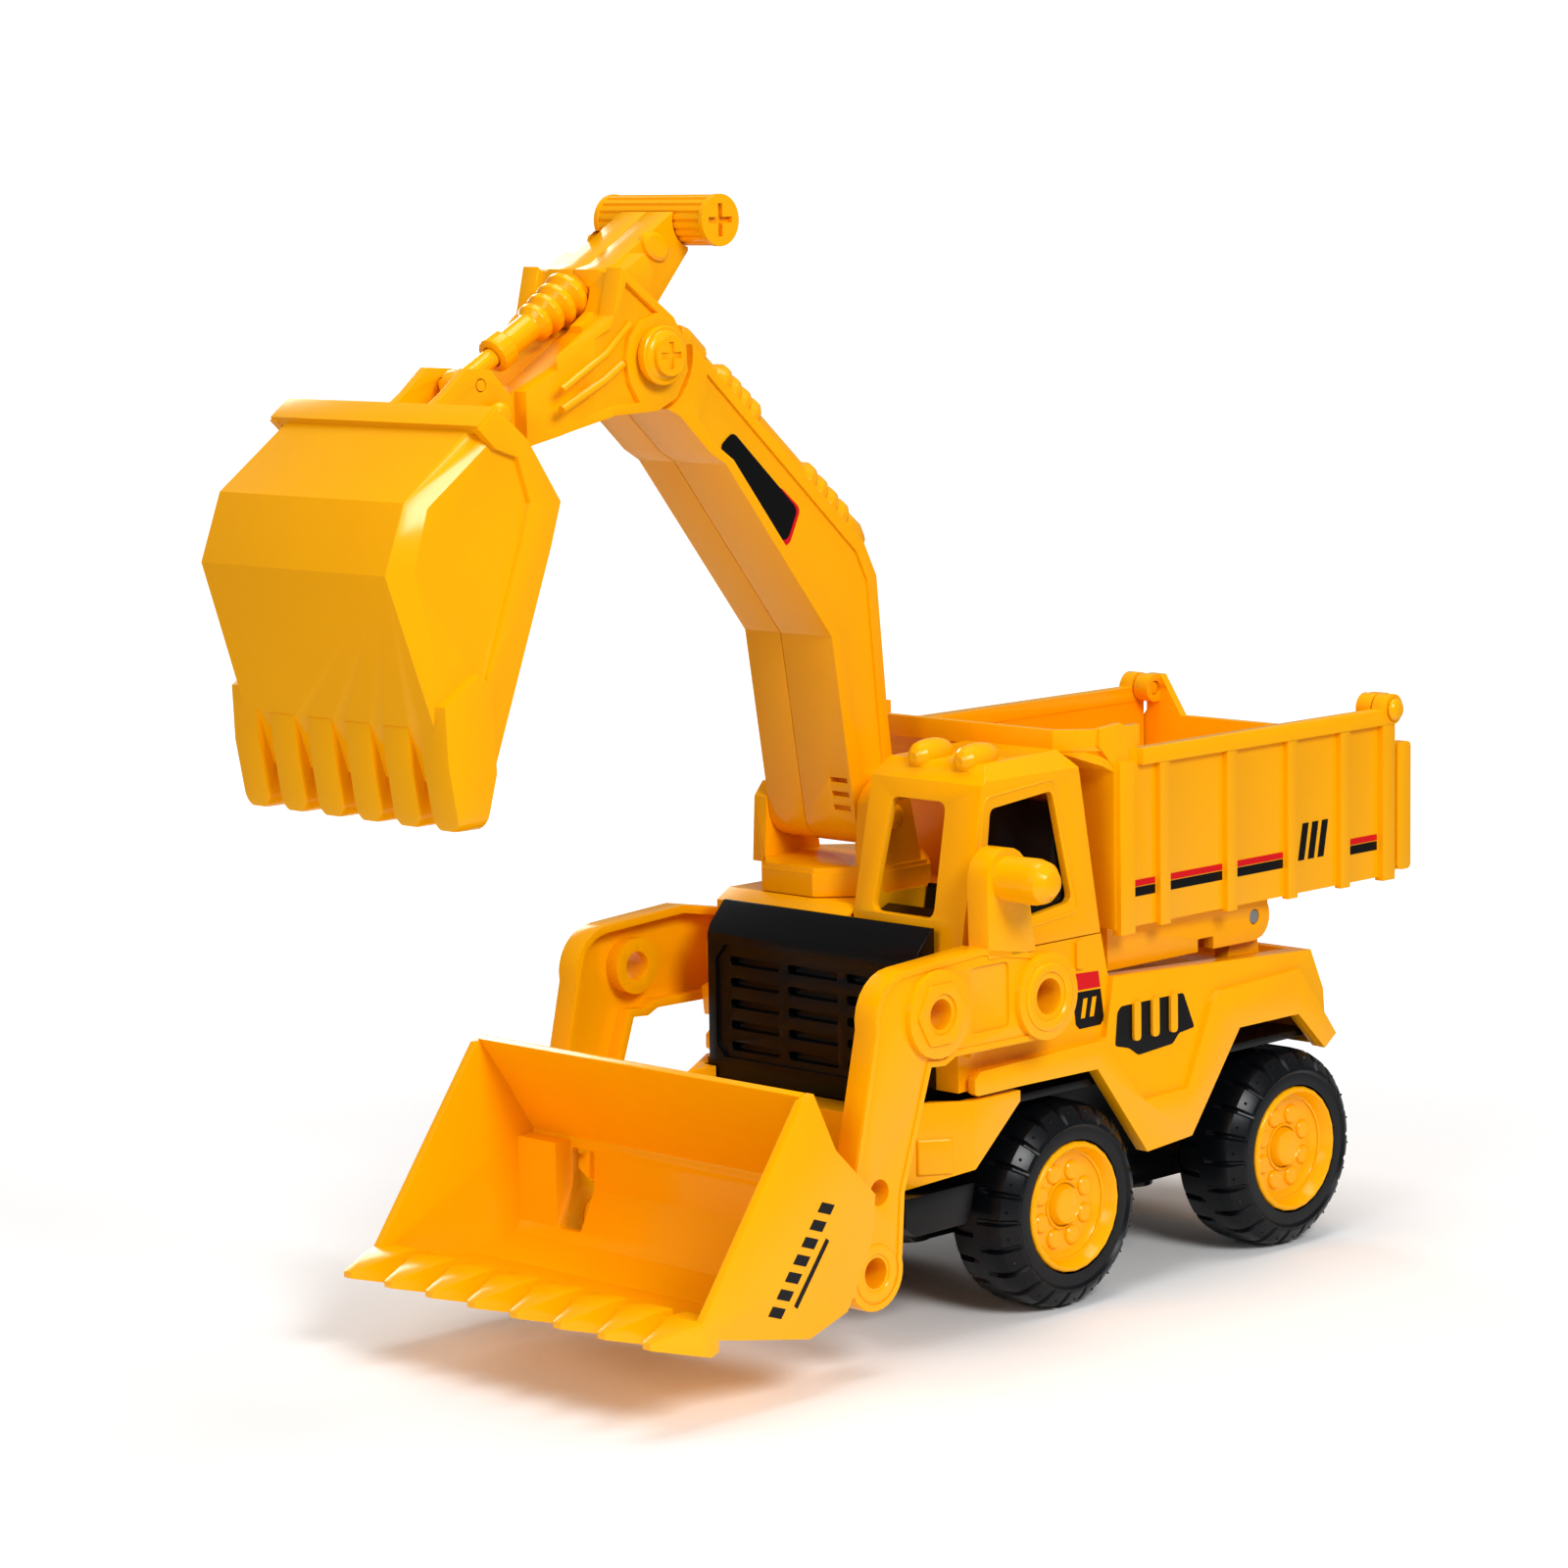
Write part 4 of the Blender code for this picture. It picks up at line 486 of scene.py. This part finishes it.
class TOYTRUCK_OT_finishes(bpy.types.Operator):
    """Give every moulded part its plastic and its rounded edges"""

    bl_idname = "toytruck.finishes"
    bl_label = "Finishes and Edges"

    def execute(self, context):
        look = context.scene.toy_look
        for name, obj in frame["nodes"].items():
            material = finish_for(name)
            if not obj.material_slots:
                obj.data.materials.append(material)
            for slot in obj.material_slots:
                slot.material = material
            weld = obj.modifiers.new("join_corners", "WELD")
            weld.merge_threshold = 0.00001
            # The faces between the grille's slots are left as they are
            if name != "grille":
                flatten = obj.modifiers.new("flat_faces", "DECIMATE")
                flatten.decimate_type = "DISSOLVE"
                flatten.angle_limit = math.radians(0.6)
            if not any(word in name for word in PLAIN_NODES):
                bevel = obj.modifiers.new("moulded_edge", "BEVEL")
                bevel.width = look.thin_edge_radius if name in THIN_NODES else look.edge_radius
                bevel.segments = 3
                bevel.limit_method = "ANGLE"
                bevel.angle_limit = EDGE_ANGLE
                bevel.miter_outer = "MITER_ARC"
            shade(obj)
        return {"FINISHED"}


class TOYTRUCK_OT_tyres(bpy.types.Operator):
    """Replace the plain tyres with treaded ones"""

    bl_idname = "toytruck.tyres"
    bl_label = "Treaded Tyres"

    # Rings across the tyre: x from the centre plane, radius, share of the groove depth
    RINGS = ((30.4, 18.9, 0.0), (29.9, 20.5, 0.0), (29.7, 23.2, 0.0), (30.1, 24.6, 0.25),
             (31.4, 27.0, 0.9), (33.2, 28.6, 1.0), (35.4, 29.2, 1.0), (38.6, 29.3, 0.9),
             (40.9, 29.3, 0.0), (42.7, 29.3, 0.0), (45.0, 29.3, 0.9), (48.0, 29.1, 1.0),
             (50.2, 28.2, 1.0), (52.2, 26.2, 1.0), (53.5, 24.4, 0.55), (53.8, 23.3, 0.0),
             (53.1, 22.4, 0.0), (53.2, 20.6, 0.0), (53.0, 18.9, 0.0))
    MIDDLE = 41.8
    # Points round the tyre for each lug, and how many of them lie in its groove
    PER_LUG = 12
    IN_GROOVE = 2

    def tread(self, centre, side, wheels):
        """Return the mesh of one tyre with grooves between its lugs."""
        work = bmesh.new()
        rings = []
        for x, radius, share in self.RINGS:
            # The lugs of the two shoulders are half a lug apart
            shift = 0 if x > self.MIDDLE else self.PER_LUG // 2
            sizes = []
            for index in range(wheels.lugs * self.PER_LUG):
                groove = (index + shift) % self.PER_LUG < self.IN_GROOVE
                sizes.append(radius - (share * wheels.groove / MM if groove else 0.0))
            rings.append(ring_about_x(work, side * x, centre, sizes))
        bridge(work, rings)
        for index in range(wheels.lugs):
            angle = 2.0 * math.pi * (index + 0.65) / wheels.lugs
            self.dot(work, centre, side, angle)
        return from_bmesh("tyre", work)

    def dot(self, work, centre, side, angle):
        """Add one small moulded dot on the shoulder of a lug."""
        dy, dz = math.cos(angle), math.sin(angle)
        middle = Vector((side * 51.7, centre[0] + 26.9 * dy, centre[1] + 26.9 * dz))
        out = Vector((side * 0.68, 0.73 * dy, 0.73 * dz)).normalized()
        along = Vector((0.0, -dz, dy))
        across = out.cross(along)
        top = work.verts.new(row(*(middle + out * 0.4)))
        low = []
        for index in range(8):
            turn = 2.0 * math.pi * index / 8
            edge = middle + (along * math.cos(turn) + across * math.sin(turn)) * 0.55 - out * 0.2
            low.append(work.verts.new(row(*edge)))
        for index in range(8):
            work.faces.new((top, low[index], low[(index + 1) % 8]))

    def execute(self, context):
        for label, y, side, word in WHEELS:
            mesh = self.tread((y, AXLE_Z), side, context.scene.toy_wheels)
            tyre = add_piece("%s_%s_tread" % (label, word), mesh, label + "_axle", tyre_vinyl())
            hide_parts("%s_tyre_%s" % (label, word))
        return {"FINISHED"}


class TOYTRUCK_OT_rims(bpy.types.Operator):
    """Add the ring of bosses, the hub collar and the raised rings to each rim"""

    bl_idname = "toytruck.rims"
    bl_label = "Rim Bosses"

    # Radius of the circle of bosses, then turned shapes as x from the centre plane and radius
    CIRCLE = 10.0
    BOSS = ((48.2, 2.9), (48.9, 2.75), (49.3, 2.3), (49.35, 1.9), (49.2, 0.0))
    INNER_RING = ((48.3, 7.2), (48.9, 7.0), (49.1, 6.6), (48.9, 6.2))
    COLLAR = ((48.3, 5.4), (50.6, 5.2), (51.0, 4.9), (51.0, 4.4), (50.6, 4.0), (50.6, 0.0))
    OUTER_RING = ((49.4, 15.0), (50.2, 15.0), (50.4, 15.6), (50.0, 16.2))

    def execute(self, context):
        bosses = context.scene.toy_wheels.bosses
        for label, y, side, word in WHEELS:
            work = bmesh.new()
            hub = (y, AXLE_Z)
            for index in range(bosses):
                angle = 2.0 * math.pi * (index + 0.5) / bosses
                centre = (y + self.CIRCLE * math.cos(angle), AXLE_Z + self.CIRCLE * math.sin(angle))
                spin_into(work, self.BOSS, centre, 18, side)
            spin_into(work, self.INNER_RING, hub, 32, side)
            spin_into(work, self.COLLAR, hub, 32, side)
            spin_into(work, self.OUTER_RING, hub, 48, side)
            mesh = from_bmesh("rim_bosses", work)
            add_piece("%s_%s_rim_bosses" % (label, word), mesh, label + "_axle", yellow_abs())
        return {"FINISHED"}


class TOYTRUCK_OT_finger_bar(bpy.types.Operator):
    """Replace the bar on the stick with a fluted one with slotted ends"""

    bl_idname = "toytruck.finger_bar"
    bl_label = "Finger Bar"

    HALF_BAR = 19.4
    HALF_OVER_CAPS = 21.0
    RADIUS = 6.8
    # Each flute takes six points round the bar, and two of them are sunk
    FLUTES = 18
    FLUTE_DEPTH = 0.55

    def execute(self, context):
        work = bmesh.new()
        sunk = self.RADIUS - self.FLUTE_DEPTH
        radii = [sunk, sunk, self.RADIUS, self.RADIUS, self.RADIUS, self.RADIUS] * self.FLUTES
        ends = (ARM_X - self.HALF_BAR, ARM_X + self.HALF_BAR)
        rings = [ring_about_x(work, x, FINGER_BAR, radii) for x in ends]
        bridge(work, rings)
        for ring in rings:
            work.faces.new(ring)
        bar = add_piece("finger_bar", from_bmesh("finger_bar", work), "stick", yellow_abs())
        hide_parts("stick_handle")
        for side, word in ARM_SIDES:
            low, high = sorted((ARM_X + side * self.HALF_BAR, ARM_X + side * self.HALF_OVER_CAPS))
            mesh = flat_mesh("bar_end", [circle(FINGER_BAR, 7.0, 40)], low, high,
                             holes=[cross_outline(FINGER_BAR, 4.4, 0.8)])
            add_piece("bar_end_" + word, mesh, "stick", yellow_abs(), 0.3)
        return {"FINISHED"}


class TOYTRUCK_OT_pins(bpy.types.Operator):
    """Add the slotted discs on the pivot heads and the rings round them"""

    bl_idname = "toytruck.pins"
    bl_label = "Pivot Heads"

    def execute(self, context):
        for side, word in ARM_SIDES:
            low, high = sorted((ARM_X + side * 23.4, ARM_X + side * 25.1))
            mesh = flat_mesh("pivot_disc", [circle(STICK_PIVOT, 5.4, 40)], low, high,
                             holes=[cross_outline(STICK_PIVOT, 3.6, 0.8)])
            add_piece("pivot_disc_" + word, mesh, "stick", yellow_abs(), 0.35)
            ring = bmesh.new()
            start = ARM_X + side * 21.2
            profile = [(start, 7.9), (start + side * 1.3, 7.9), (start + side * 1.6, 7.5),
                       (start + side * 1.6, 6.6)]
            spin_into(ring, profile, STICK_PIVOT, 40)
            add_piece("pivot_ring_" + word, from_bmesh("pivot_ring", ring), "stick", yellow_abs())
        return {"FINISHED"}


def arm_outline():
    """Return the side outline of a loader arm."""
    outer = [(-21.0, 105.0)] + arc(LIFT_PIVOT, 12.0, 60.0, -90.0, 12)
    outer += [(-57.0, 81.4), (-61.0, 79.6), (-66.5, 80.0), (-77.6, 48.0), (-78.8, 31.0)]
    outer += arc(TILT_PIVOT, 10.4, 15.0, -195.0, 18)
    outer += [(-99.0, 36.0), (-95.6, 47.8), (-96.4, 57.0), (-88.2, 92.5)]
    outer += arc((-75.4, 94.6), 13.0, 176.0, 92.0, 10)
    outer += [(-46.0, 109.4)]
    return outer


class TOYTRUCK_OT_loader_trim(bpy.types.Operator):
    """Add raised rims, hexagon collars and bearing rings to the loader arms"""

    bl_idname = "toytruck.loader_trim"
    bl_label = "Loader Arm Trim"

    def execute(self, context):
        outline = arm_outline()
        for side, word in SIDES:
            low, high = sorted((side * 60.4, side * 61.0))
            rim = flat_mesh("arm_rim", [inset(outline, 0.25)], low, high, holes=[inset(outline, 1.9)])
            add_piece("arm_rim_" + word, rim, "loader_arms", yellow_abs(), 0.2)
            low, high = sorted((side * 62.4, side * 63.3))
            hexagon = circle(ELBOW, 9.4, 6)
            collar = flat_mesh("elbow_collar", [rounded(hexagon, 1.2)], low, high,
                               holes=[circle(ELBOW, 5.6, 36)])
            add_piece("elbow_collar_" + word, collar, "loader_arms", yellow_abs(), 0.3)
            ring = bmesh.new()
            spin_into(ring, ((62.4, 9.6), (63.1, 9.4), (63.4, 8.8), (63.4, 7.2), (63.0, 6.7), (62.4, 6.6)),
                      LIFT_PIVOT, 48, side)
            spin_into(ring, ((60.4, 8.0), (60.9, 7.8), (61.1, 7.3), (61.1, 5.4), (60.8, 5.0), (60.4, 4.9)),
                      TILT_PIVOT, 40, side)
            add_piece("arm_rings_" + word, from_bmesh("arm_rings", ring), "loader_arms", yellow_abs())
        return {"FINISHED"}


class TOYTRUCK_OT_stick_trim(bpy.types.Operator):
    """Add the moulded hoses and bosses on both sides of the stick"""

    bl_idname = "toytruck.stick_trim"
    bl_label = "Stick Trim"

    BOSS = (-92.6, 297.6)

    def execute(self, context):
        for side, word in ARM_SIDES:
            x = ARM_X + side * 17.7
            hose = [(x, -112.4, 267.4), (x, -119.0, 263.4), (x, -134.6, 256.4)]
            tube("stick_hose_" + word, hose, 1.2, "stick", yellow_abs())
            rise = [(x, -109.6, 277.8), (x, -118.4, 270.2), (x, -134.4, 261.6)]
            tube("stick_pipe_" + word, rise, 1.0, "stick", yellow_abs())
            work = bmesh.new()
            face = ARM_X + side * 9.8
            profile = [(face, 3.6), (face + side * 1.2, 3.4), (face + side * 1.7, 2.6),
                       (face + side * 1.8, 0.0)]
            spin_into(work, profile, self.BOSS, 28)
            mesh = from_bmesh("beam_boss", work)
            # The boss is drawn out by half along the slant of the beam
            middle = row(0.0, *self.BOSS)
            slant = Matrix.Rotation(math.radians(-32.0), 4, "X")
            grow = slant @ Matrix.Diagonal((1.0, 1.5, 1.0, 1.0)) @ slant.inverted()
            mesh.transform(Matrix.Translation(middle) @ grow @ Matrix.Translation(-middle))
            add_piece("beam_boss_" + word, mesh, "stick", yellow_abs())
        return {"FINISHED"}


class TOYTRUCK_OT_body_trim(bpy.types.Operator):
    """Add the bumper pads, vent ribs, roof lamps, sill bar and door bead of the body"""

    bl_idname = "toytruck.body_trim"
    bl_label = "Body and Cab Trim"

    LAMP_STEPS = 28
    LAMP_TAIL = 8.4
    # Radius of a lamp pod and the distance forward of its widest part, from tail to nose
    LAMP_PROFILE = ((0.0, 6.8), (1.3, 6.9), (2.7, 6.1), (3.7, 4.6), (4.15, 2.6), (4.2, 0.6), (4.1, -1.8),
                    (3.7, -4.0), (2.9, -6.2), (1.7, -7.8))

    def bumper_pad(self, side, word):
        """Add one square pad on the bumper's slanted corner."""
        normal = Vector((side * 0.834, -0.552, 0.0))
        along = Vector((-side * 0.552, -0.834, 0.0))
        centre = Vector((side * 45.6, -49.3, 50.8))
        work = bmesh.new()
        rings = []
        for lift, half in ((-0.6, 5.2), (0.5, 5.0), (0.9, 4.5)):
            ring = []
            for a, b in ((-1, -1), (1, -1), (1, 1), (-1, 1)):
                corner = centre + normal * lift + along * a * half + Vector((0, 0, b * half))
                ring.append(work.verts.new(row(*corner)))
            rings.append(ring)
        bridge(work, rings)
        work.faces.new(rings[-1])
        work.faces.new(rings[0])
        add_piece("bumper_pad_" + word, from_bmesh("bumper_pad", work), "chassis", yellow_abs(), 0.25)

    def lamp(self, x, word):
        """Add one bullet-shaped lamp pod on the front edge of the cab roof."""
        work = bmesh.new()
        middle_y, middle_z = -22.4, 156.6
        rings = []
        for radius, along in self.LAMP_PROFILE:
            ring = []
            for index in range(self.LAMP_STEPS):
                angle = 2.0 * math.pi * index / self.LAMP_STEPS
                z = middle_z + 1.02 * radius * math.sin(angle) - 0.06 * along
                ring.append(work.verts.new(row(x + radius * math.cos(angle), middle_y - along, z)))
            rings.append(ring)
        tail = work.verts.new(row(x, middle_y + self.LAMP_TAIL, middle_z - 0.4))
        bridge(work, rings)
        for index in range(self.LAMP_STEPS):
            work.faces.new((rings[-1][index], rings[-1][(index + 1) % self.LAMP_STEPS], tail))
        bmesh.ops.remove_doubles(work, verts=work.verts, dist=0.00002)
        add_piece("roof_lamp_" + word, from_bmesh("roof_lamp", work), "chassis", yellow_abs())

    def execute(self, context):
        for side, word in SIDES:
            self.bumper_pad(side, word)
            for index in range(3):
                y = 30.2 + 8.1 * index
                outline = rounded([(y - 1.5, 71.6), (y + 1.5, 71.6), (y + 1.5, 83.0), (y - 1.5, 83.0)], 1.4)
                mesh = flat_mesh("vent_rib", [outline], *sorted((side * 49.6, side * 51.0)))
                add_piece("vent_rib_%s_%d" % (word, index), mesh, "chassis", yellow_abs(), 0.4)
        for word, x in (("inner", 21.0), ("outer", 38.0)):
            self.lamp(x, word)
        bar = rounded([(6.6, 95.0), (9.8, 95.0), (9.8, 103.2), (6.6, 103.2)], 1.2)
        mesh = flat_mesh("sill_bar", [bar], 47.6, 49.0)
        add_piece("sill_bar", mesh, "chassis", yellow_abs(), 0.4)
        door = rounded([(-30.4, 147.2), (-1.6, 149.6), (8.6, 111.4), (-35.4, 107.2)], 3.0, 5)
        tube("door_bead", [(47.95, y, z) for y, z in door], 0.42, "chassis", yellow_abs(), True)
        return {"FINISHED"}


class TOYTRUCK_OT_prints(bpy.types.Operator):
    """Add the printed stripes, patches and bars"""

    bl_idname = "toytruck.prints"
    bl_label = "Prints"

    FILM = 0.12
    # Distances of the printed faces from the middle of the truck, or of the boom
    BED_SIDE = 49.0
    BODY_SIDE = 50.0
    CAB_SIDE = 48.0
    BUCKET_SIDE = 64.0
    BOOM_SIDE = 16.1

    def film(self, name, outlines, x, side, body, material, holes=()):
        """Lay a thin printed film on a flat side at distance x from the centre."""
        low, high = sorted((x - side * 0.05, x + side * self.FILM))
        mesh = flat_mesh(name, outlines, low, high, holes)
        return add_piece(name, mesh, body, material)

    def stripes(self, side, word):
        """Print the red and black stripes and three slanted bars on the dump bed."""
        x = side * self.BED_SIDE
        spans = ((31.6, 40.4), (45.6, 70.4), (75.6, 98.4), (130.4, 143.4))
        black = [[(a, 112.4), (b, 112.4), (b, 115.0), (a, 115.0)] for a, b in spans]
        red = [[(a, 115.3), (b, 115.3), (b, 117.1), (a, 117.1)] for a, b in spans]
        self.film("bed_stripe_black_" + word, black, x, side, "dump_bed", black_print())
        self.film("bed_stripe_red_" + word, red, x, side, "dump_bed", red_print())
        bars = []
        for index in range(3):
            y = 105.6 + 4.6 * index
            bars.append([(y, 113.6), (y + 2.8, 113.6), (y + 5.0, 124.4), (y + 2.2, 124.4)])
        self.film("bed_bars_" + word, bars, x, side, "dump_bed", black_print())

    def vent(self, side, word):
        """Print the black vent panel round the three ribs."""
        outline = [(22.4, 80.6), (24.0, 82.2), (51.4, 82.2), (56.3, 71.6), (49.4, 70.9), (46.6, 68.2),
                   (31.4, 67.2), (27.4, 69.8), (21.4, 71.2)]
        self.film("vent_panel_" + word, [rounded(outline, 0.9)], side * self.BODY_SIDE, side, "chassis",
                  black_print())

    def bar(self, corner, run, fall):
        """Return the outline of a bar from one corner and the two edges that leave it."""
        return [tuple(point) for point in (corner, corner + run, corner + run + fall, corner + fall)]

    def hazard(self, side, word):
        """Print a row of slanted bars and one long thin bar on the loader bucket's side."""
        start, stop = Vector((-133.0, 25.6)), Vector((-110.6, 54.4))
        along = (stop - start).normalized()
        across = Vector((-along.y, along.x))
        bars = []
        for index in range(7):
            fall = along * 1.6 - across * 4.6
            bars.append(self.bar(start + along * (5.1 * index), along * 2.9, fall))
        bars.append(self.bar(start + along * 6.5 - across * 7.0, along * 20.0, across * -1.4))
        self.film("bucket_bars_" + word, bars, side * self.BUCKET_SIDE, side, "loader_bucket",
                  black_print())

    def boom_patch(self, side, word):
        """Print the dark patch over its red edge on the boom's recessed side."""
        x = ARM_X + side * self.BOOM_SIDE
        patch = rounded([(-75.6, 243.4), (-70.5, 247.2), (-45.9, 224.6), (-50.0, 216.4),
                         (-54.2, 216.6)], 2.0)
        edge = rounded([(-60.6, 222.2), (-54.8, 215.2), (-49.4, 214.8), (-44.6, 224.6), (-53.0, 231.6)],
                       2.0)
        low = self.film("boom_patch_edge_" + word, [edge], x, side, "boom", red_print())
        low.data.transform(Matrix.Translation((side * 0.02 * MM, 0.0, 0.0)))
        high = self.film("boom_patch_" + word, [patch], x + side * 0.1, side, "boom", black_print())
        high.data.transform(Matrix.Translation((side * 0.04 * MM, 0.0, 0.0)))

    def door_patch(self):
        """Print the red and black patch below the door, with two slanted bars left bare."""
        red = [(4.9, 93.7), (16.6, 93.2), (17.4, 88.6), (5.6, 88.9)]
        black = [(5.7, 88.3), (17.5, 88.0), (18.9, 79.4), (17.4, 77.8), (8.4, 77.8), (6.9, 79.2)]
        bars = [[(8.9, 80.6), (10.9, 80.6), (12.1, 86.2), (10.1, 86.2)],
                [(12.7, 80.6), (14.7, 80.6), (15.9, 86.2), (13.9, 86.2)]]
        self.film("door_patch_red", [red], self.CAB_SIDE, 1.0, "chassis", red_print())
        self.film("door_patch_black", [black], self.CAB_SIDE, 1.0, "chassis", black_print(), bars)

    def execute(self, context):
        for side, word in SIDES:
            self.stripes(side, word)
            self.vent(side, word)
            self.hazard(side, word)
            self.boom_patch(side, word)
        self.door_patch()
        return {"FINISHED"}


class TOYTRUCK_OT_studio(bpy.types.Operator):
    """Add the floor, the soft lights and the camera"""

    bl_idname = "toytruck.studio"
    bl_label = "Studio"

    CAMERA_PLACE = (883.1, -958.1, 323.1)
    SENSOR_WIDTH = 36.0
    FLOOR_RADIUS = 0.8
    # What the lights face, in metres
    MIDDLE = (0.0, 0.0, 0.12)

    def area(self, name, place, size, power):
        """Add one white rectangular soft light that faces the middle of the truck."""
        light = bpy.data.lights.new(name, "AREA")
        light.shape = "RECTANGLE"
        light.size, light.size_y = size
        light.energy = power
        obj = bpy.data.objects.new(name, light)
        obj.location = place
        obj.rotation_euler = (Vector(self.MIDDLE) - Vector(place)).to_track_quat("-Z", "Y").to_euler()
        bpy.context.scene.collection.objects.link(obj)

    def floor(self, studio):
        """Add the pale round floor, which thins out to nothing at its rim."""
        work = bmesh.new()
        bmesh.ops.create_circle(work, cap_ends=True, segments=96, radius=self.FLOOR_RADIUS)
        obj = bpy.data.objects.new("studio_floor", from_bmesh("studio_floor", work))
        bpy.context.scene.collection.objects.link(obj)
        material = bpy.data.materials.new("matt_paper_floor")
        material.use_nodes = True
        tree = material.node_tree
        shader = tree.nodes["Principled BSDF"]
        place = add_node(tree, "ShaderNodeTexCoord")
        # Clumps of paper fibre are about 1 mm across
        fibre = add_node(tree, "ShaderNodeTexNoise", inputs={"Scale": 900.0},
                         links={"Vector": place.outputs["Object"]})
        rough = add_node(tree, "ShaderNodeMapRange", inputs={"To Min": 0.75, "To Max": 0.9},
                         links={"Value": fibre.outputs[0]})
        tree.links.new(rough.outputs[0], shader.inputs["Roughness"])
        reach = add_node(tree, "ShaderNodeVectorMath", {"operation": "LENGTH"},
                         links={0: place.outputs["Object"]})
        fade = add_node(tree, "ShaderNodeMapRange", {"interpolation_type": "SMOOTHSTEP"},
                        {"From Min": 0.18, "From Max": 0.66, "To Min": 1.0, "To Max": 0.0},
                        {"Value": reach.outputs["Value"]})
        tree.links.new(fade.outputs[0], shader.inputs["Alpha"])
        shader.inputs["Base Color"].default_value = (*studio.floor, 1.0)
        shader.inputs["IOR"].default_value = 1.3
        obj.data.materials.append(material)

    def world(self, studio):
        """Fill the room with even light in front of a plain white wall."""
        world = bpy.data.worlds.new("studio_world")
        world.use_nodes = True
        tree = world.node_tree
        room = tree.nodes["Background"]
        room.inputs["Color"].default_value = (1.0, 1.0, 1.0, 1.0)
        room.inputs["Strength"].default_value = studio.ambient
        wall = add_node(tree, "ShaderNodeBackground", inputs={"Color": (1.0, 1.0, 1.0, 1.0),
                                                              "Strength": 1.0})
        seen = add_node(tree, "ShaderNodeLightPath")
        mix = add_node(tree, "ShaderNodeMixShader",
                       links={0: seen.outputs["Is Camera Ray"], 1: room.outputs[0],
                              2: wall.outputs[0]})
        tree.links.new(mix.outputs[0], tree.nodes["World Output"].inputs["Surface"])
        bpy.context.scene.world = world

    def camera(self, studio):
        """Add the camera, turned by its azimuth, elevation and roll."""
        a, e, r = studio.azimuth, studio.elevation, studio.roll
        back = Vector((math.sin(a) * math.cos(e), -math.cos(a) * math.cos(e), math.sin(e)))
        right = Vector((math.cos(a), math.sin(a), 0.0))
        up = back.cross(right)
        turned_right = right * math.cos(r) + up * math.sin(r)
        turned_up = up * math.cos(r) - right * math.sin(r)
        data = bpy.data.cameras.new("studio_camera")
        data.lens = studio.lens
        data.sensor_width = self.SENSOR_WIDTH
        data.clip_start = 0.05
        data.clip_end = 30.0
        obj = bpy.data.objects.new("studio_camera", data)
        matrix = Matrix((turned_right, turned_up, back)).transposed().to_4x4()
        matrix.translation = row(*self.CAMERA_PLACE)
        obj.matrix_world = matrix
        bpy.context.scene.collection.objects.link(obj)
        bpy.context.scene.camera = obj

    def execute(self, context):
        studio = context.scene.toy_studio
        if studio.show_floor:
            self.floor(studio)
        self.world(studio)
        self.camera(studio)
        self.area("key_softbox", (1.2, -0.36, 0.98), (0.5, 0.5), studio.key)
        self.area("front_softbox", (0.25, -1.3, 0.62), (0.6, 0.5), studio.key * 0.38)
        self.area("top_softbox", (0.0, 0.15, 1.4), (0.8, 0.6), studio.key * 0.5)
        self.area("back_softbox", (-1.3, 0.5, 0.6), (0.6, 0.6), studio.key * 0.4)
        context.scene.view_settings.view_transform = "Standard"
        context.scene.view_settings.look = "Medium High Contrast"
        return {"FINISHED"}


# ------------------------------------------------------------------- add-on

STEPS = ("finishes", "tyres", "rims", "finger_bar", "pins", "loader_trim", "stick_trim",
         "body_trim", "prints", "studio")


class TOYTRUCK_PT_panel(bpy.types.Panel):
    """Panel that lists the steps of the toy truck"""

    bl_label = "Toy Truck"
    bl_idname = "TOYTRUCK_PT_panel"
    bl_space_type = "VIEW_3D"
    bl_region_type = "UI"
    bl_category = "Toy Truck"

    def draw(self, context):
        layout = self.layout
        for group in (context.scene.toy_look, context.scene.toy_wheels, context.scene.toy_studio):
            for name in group.bl_rna.properties.keys():
                if name not in ("rna_type", "name"):
                    layout.prop(group, name)
        for step in STEPS:
            layout.operator("toytruck." + step)


CLASSES = (
    ToyTruckLook, ToyTruckWheels, ToyTruckStudio, TOYTRUCK_OT_finishes, TOYTRUCK_OT_tyres,
    TOYTRUCK_OT_rims, TOYTRUCK_OT_finger_bar, TOYTRUCK_OT_pins, TOYTRUCK_OT_loader_trim,
    TOYTRUCK_OT_stick_trim, TOYTRUCK_OT_body_trim, TOYTRUCK_OT_prints, TOYTRUCK_OT_studio,
    TOYTRUCK_PT_panel,
)


def register():
    """Register the classes and their settings."""
    for cls in CLASSES:
        bpy.utils.register_class(cls)
    bpy.types.Scene.toy_look = PointerProperty(type=ToyTruckLook)
    bpy.types.Scene.toy_wheels = PointerProperty(type=ToyTruckWheels)
    bpy.types.Scene.toy_studio = PointerProperty(type=ToyTruckStudio)


def unregister():
    """Remove the classes and their settings."""
    del bpy.types.Scene.toy_studio
    del bpy.types.Scene.toy_wheels
    del bpy.types.Scene.toy_look
    for cls in reversed(CLASSES):
        bpy.utils.unregister_class(cls)


def main():
    """Build the looks of the toy truck."""
    register()
    bpy.ops.toytruck.finishes()
    bpy.ops.toytruck.tyres()
    bpy.ops.toytruck.rims()
    bpy.ops.toytruck.finger_bar()
    bpy.ops.toytruck.pins()
    bpy.ops.toytruck.loader_trim()
    bpy.ops.toytruck.stick_trim()
    bpy.ops.toytruck.body_trim()
    bpy.ops.toytruck.prints()
    bpy.ops.toytruck.studio()


if __name__ == "__main__":
    main()
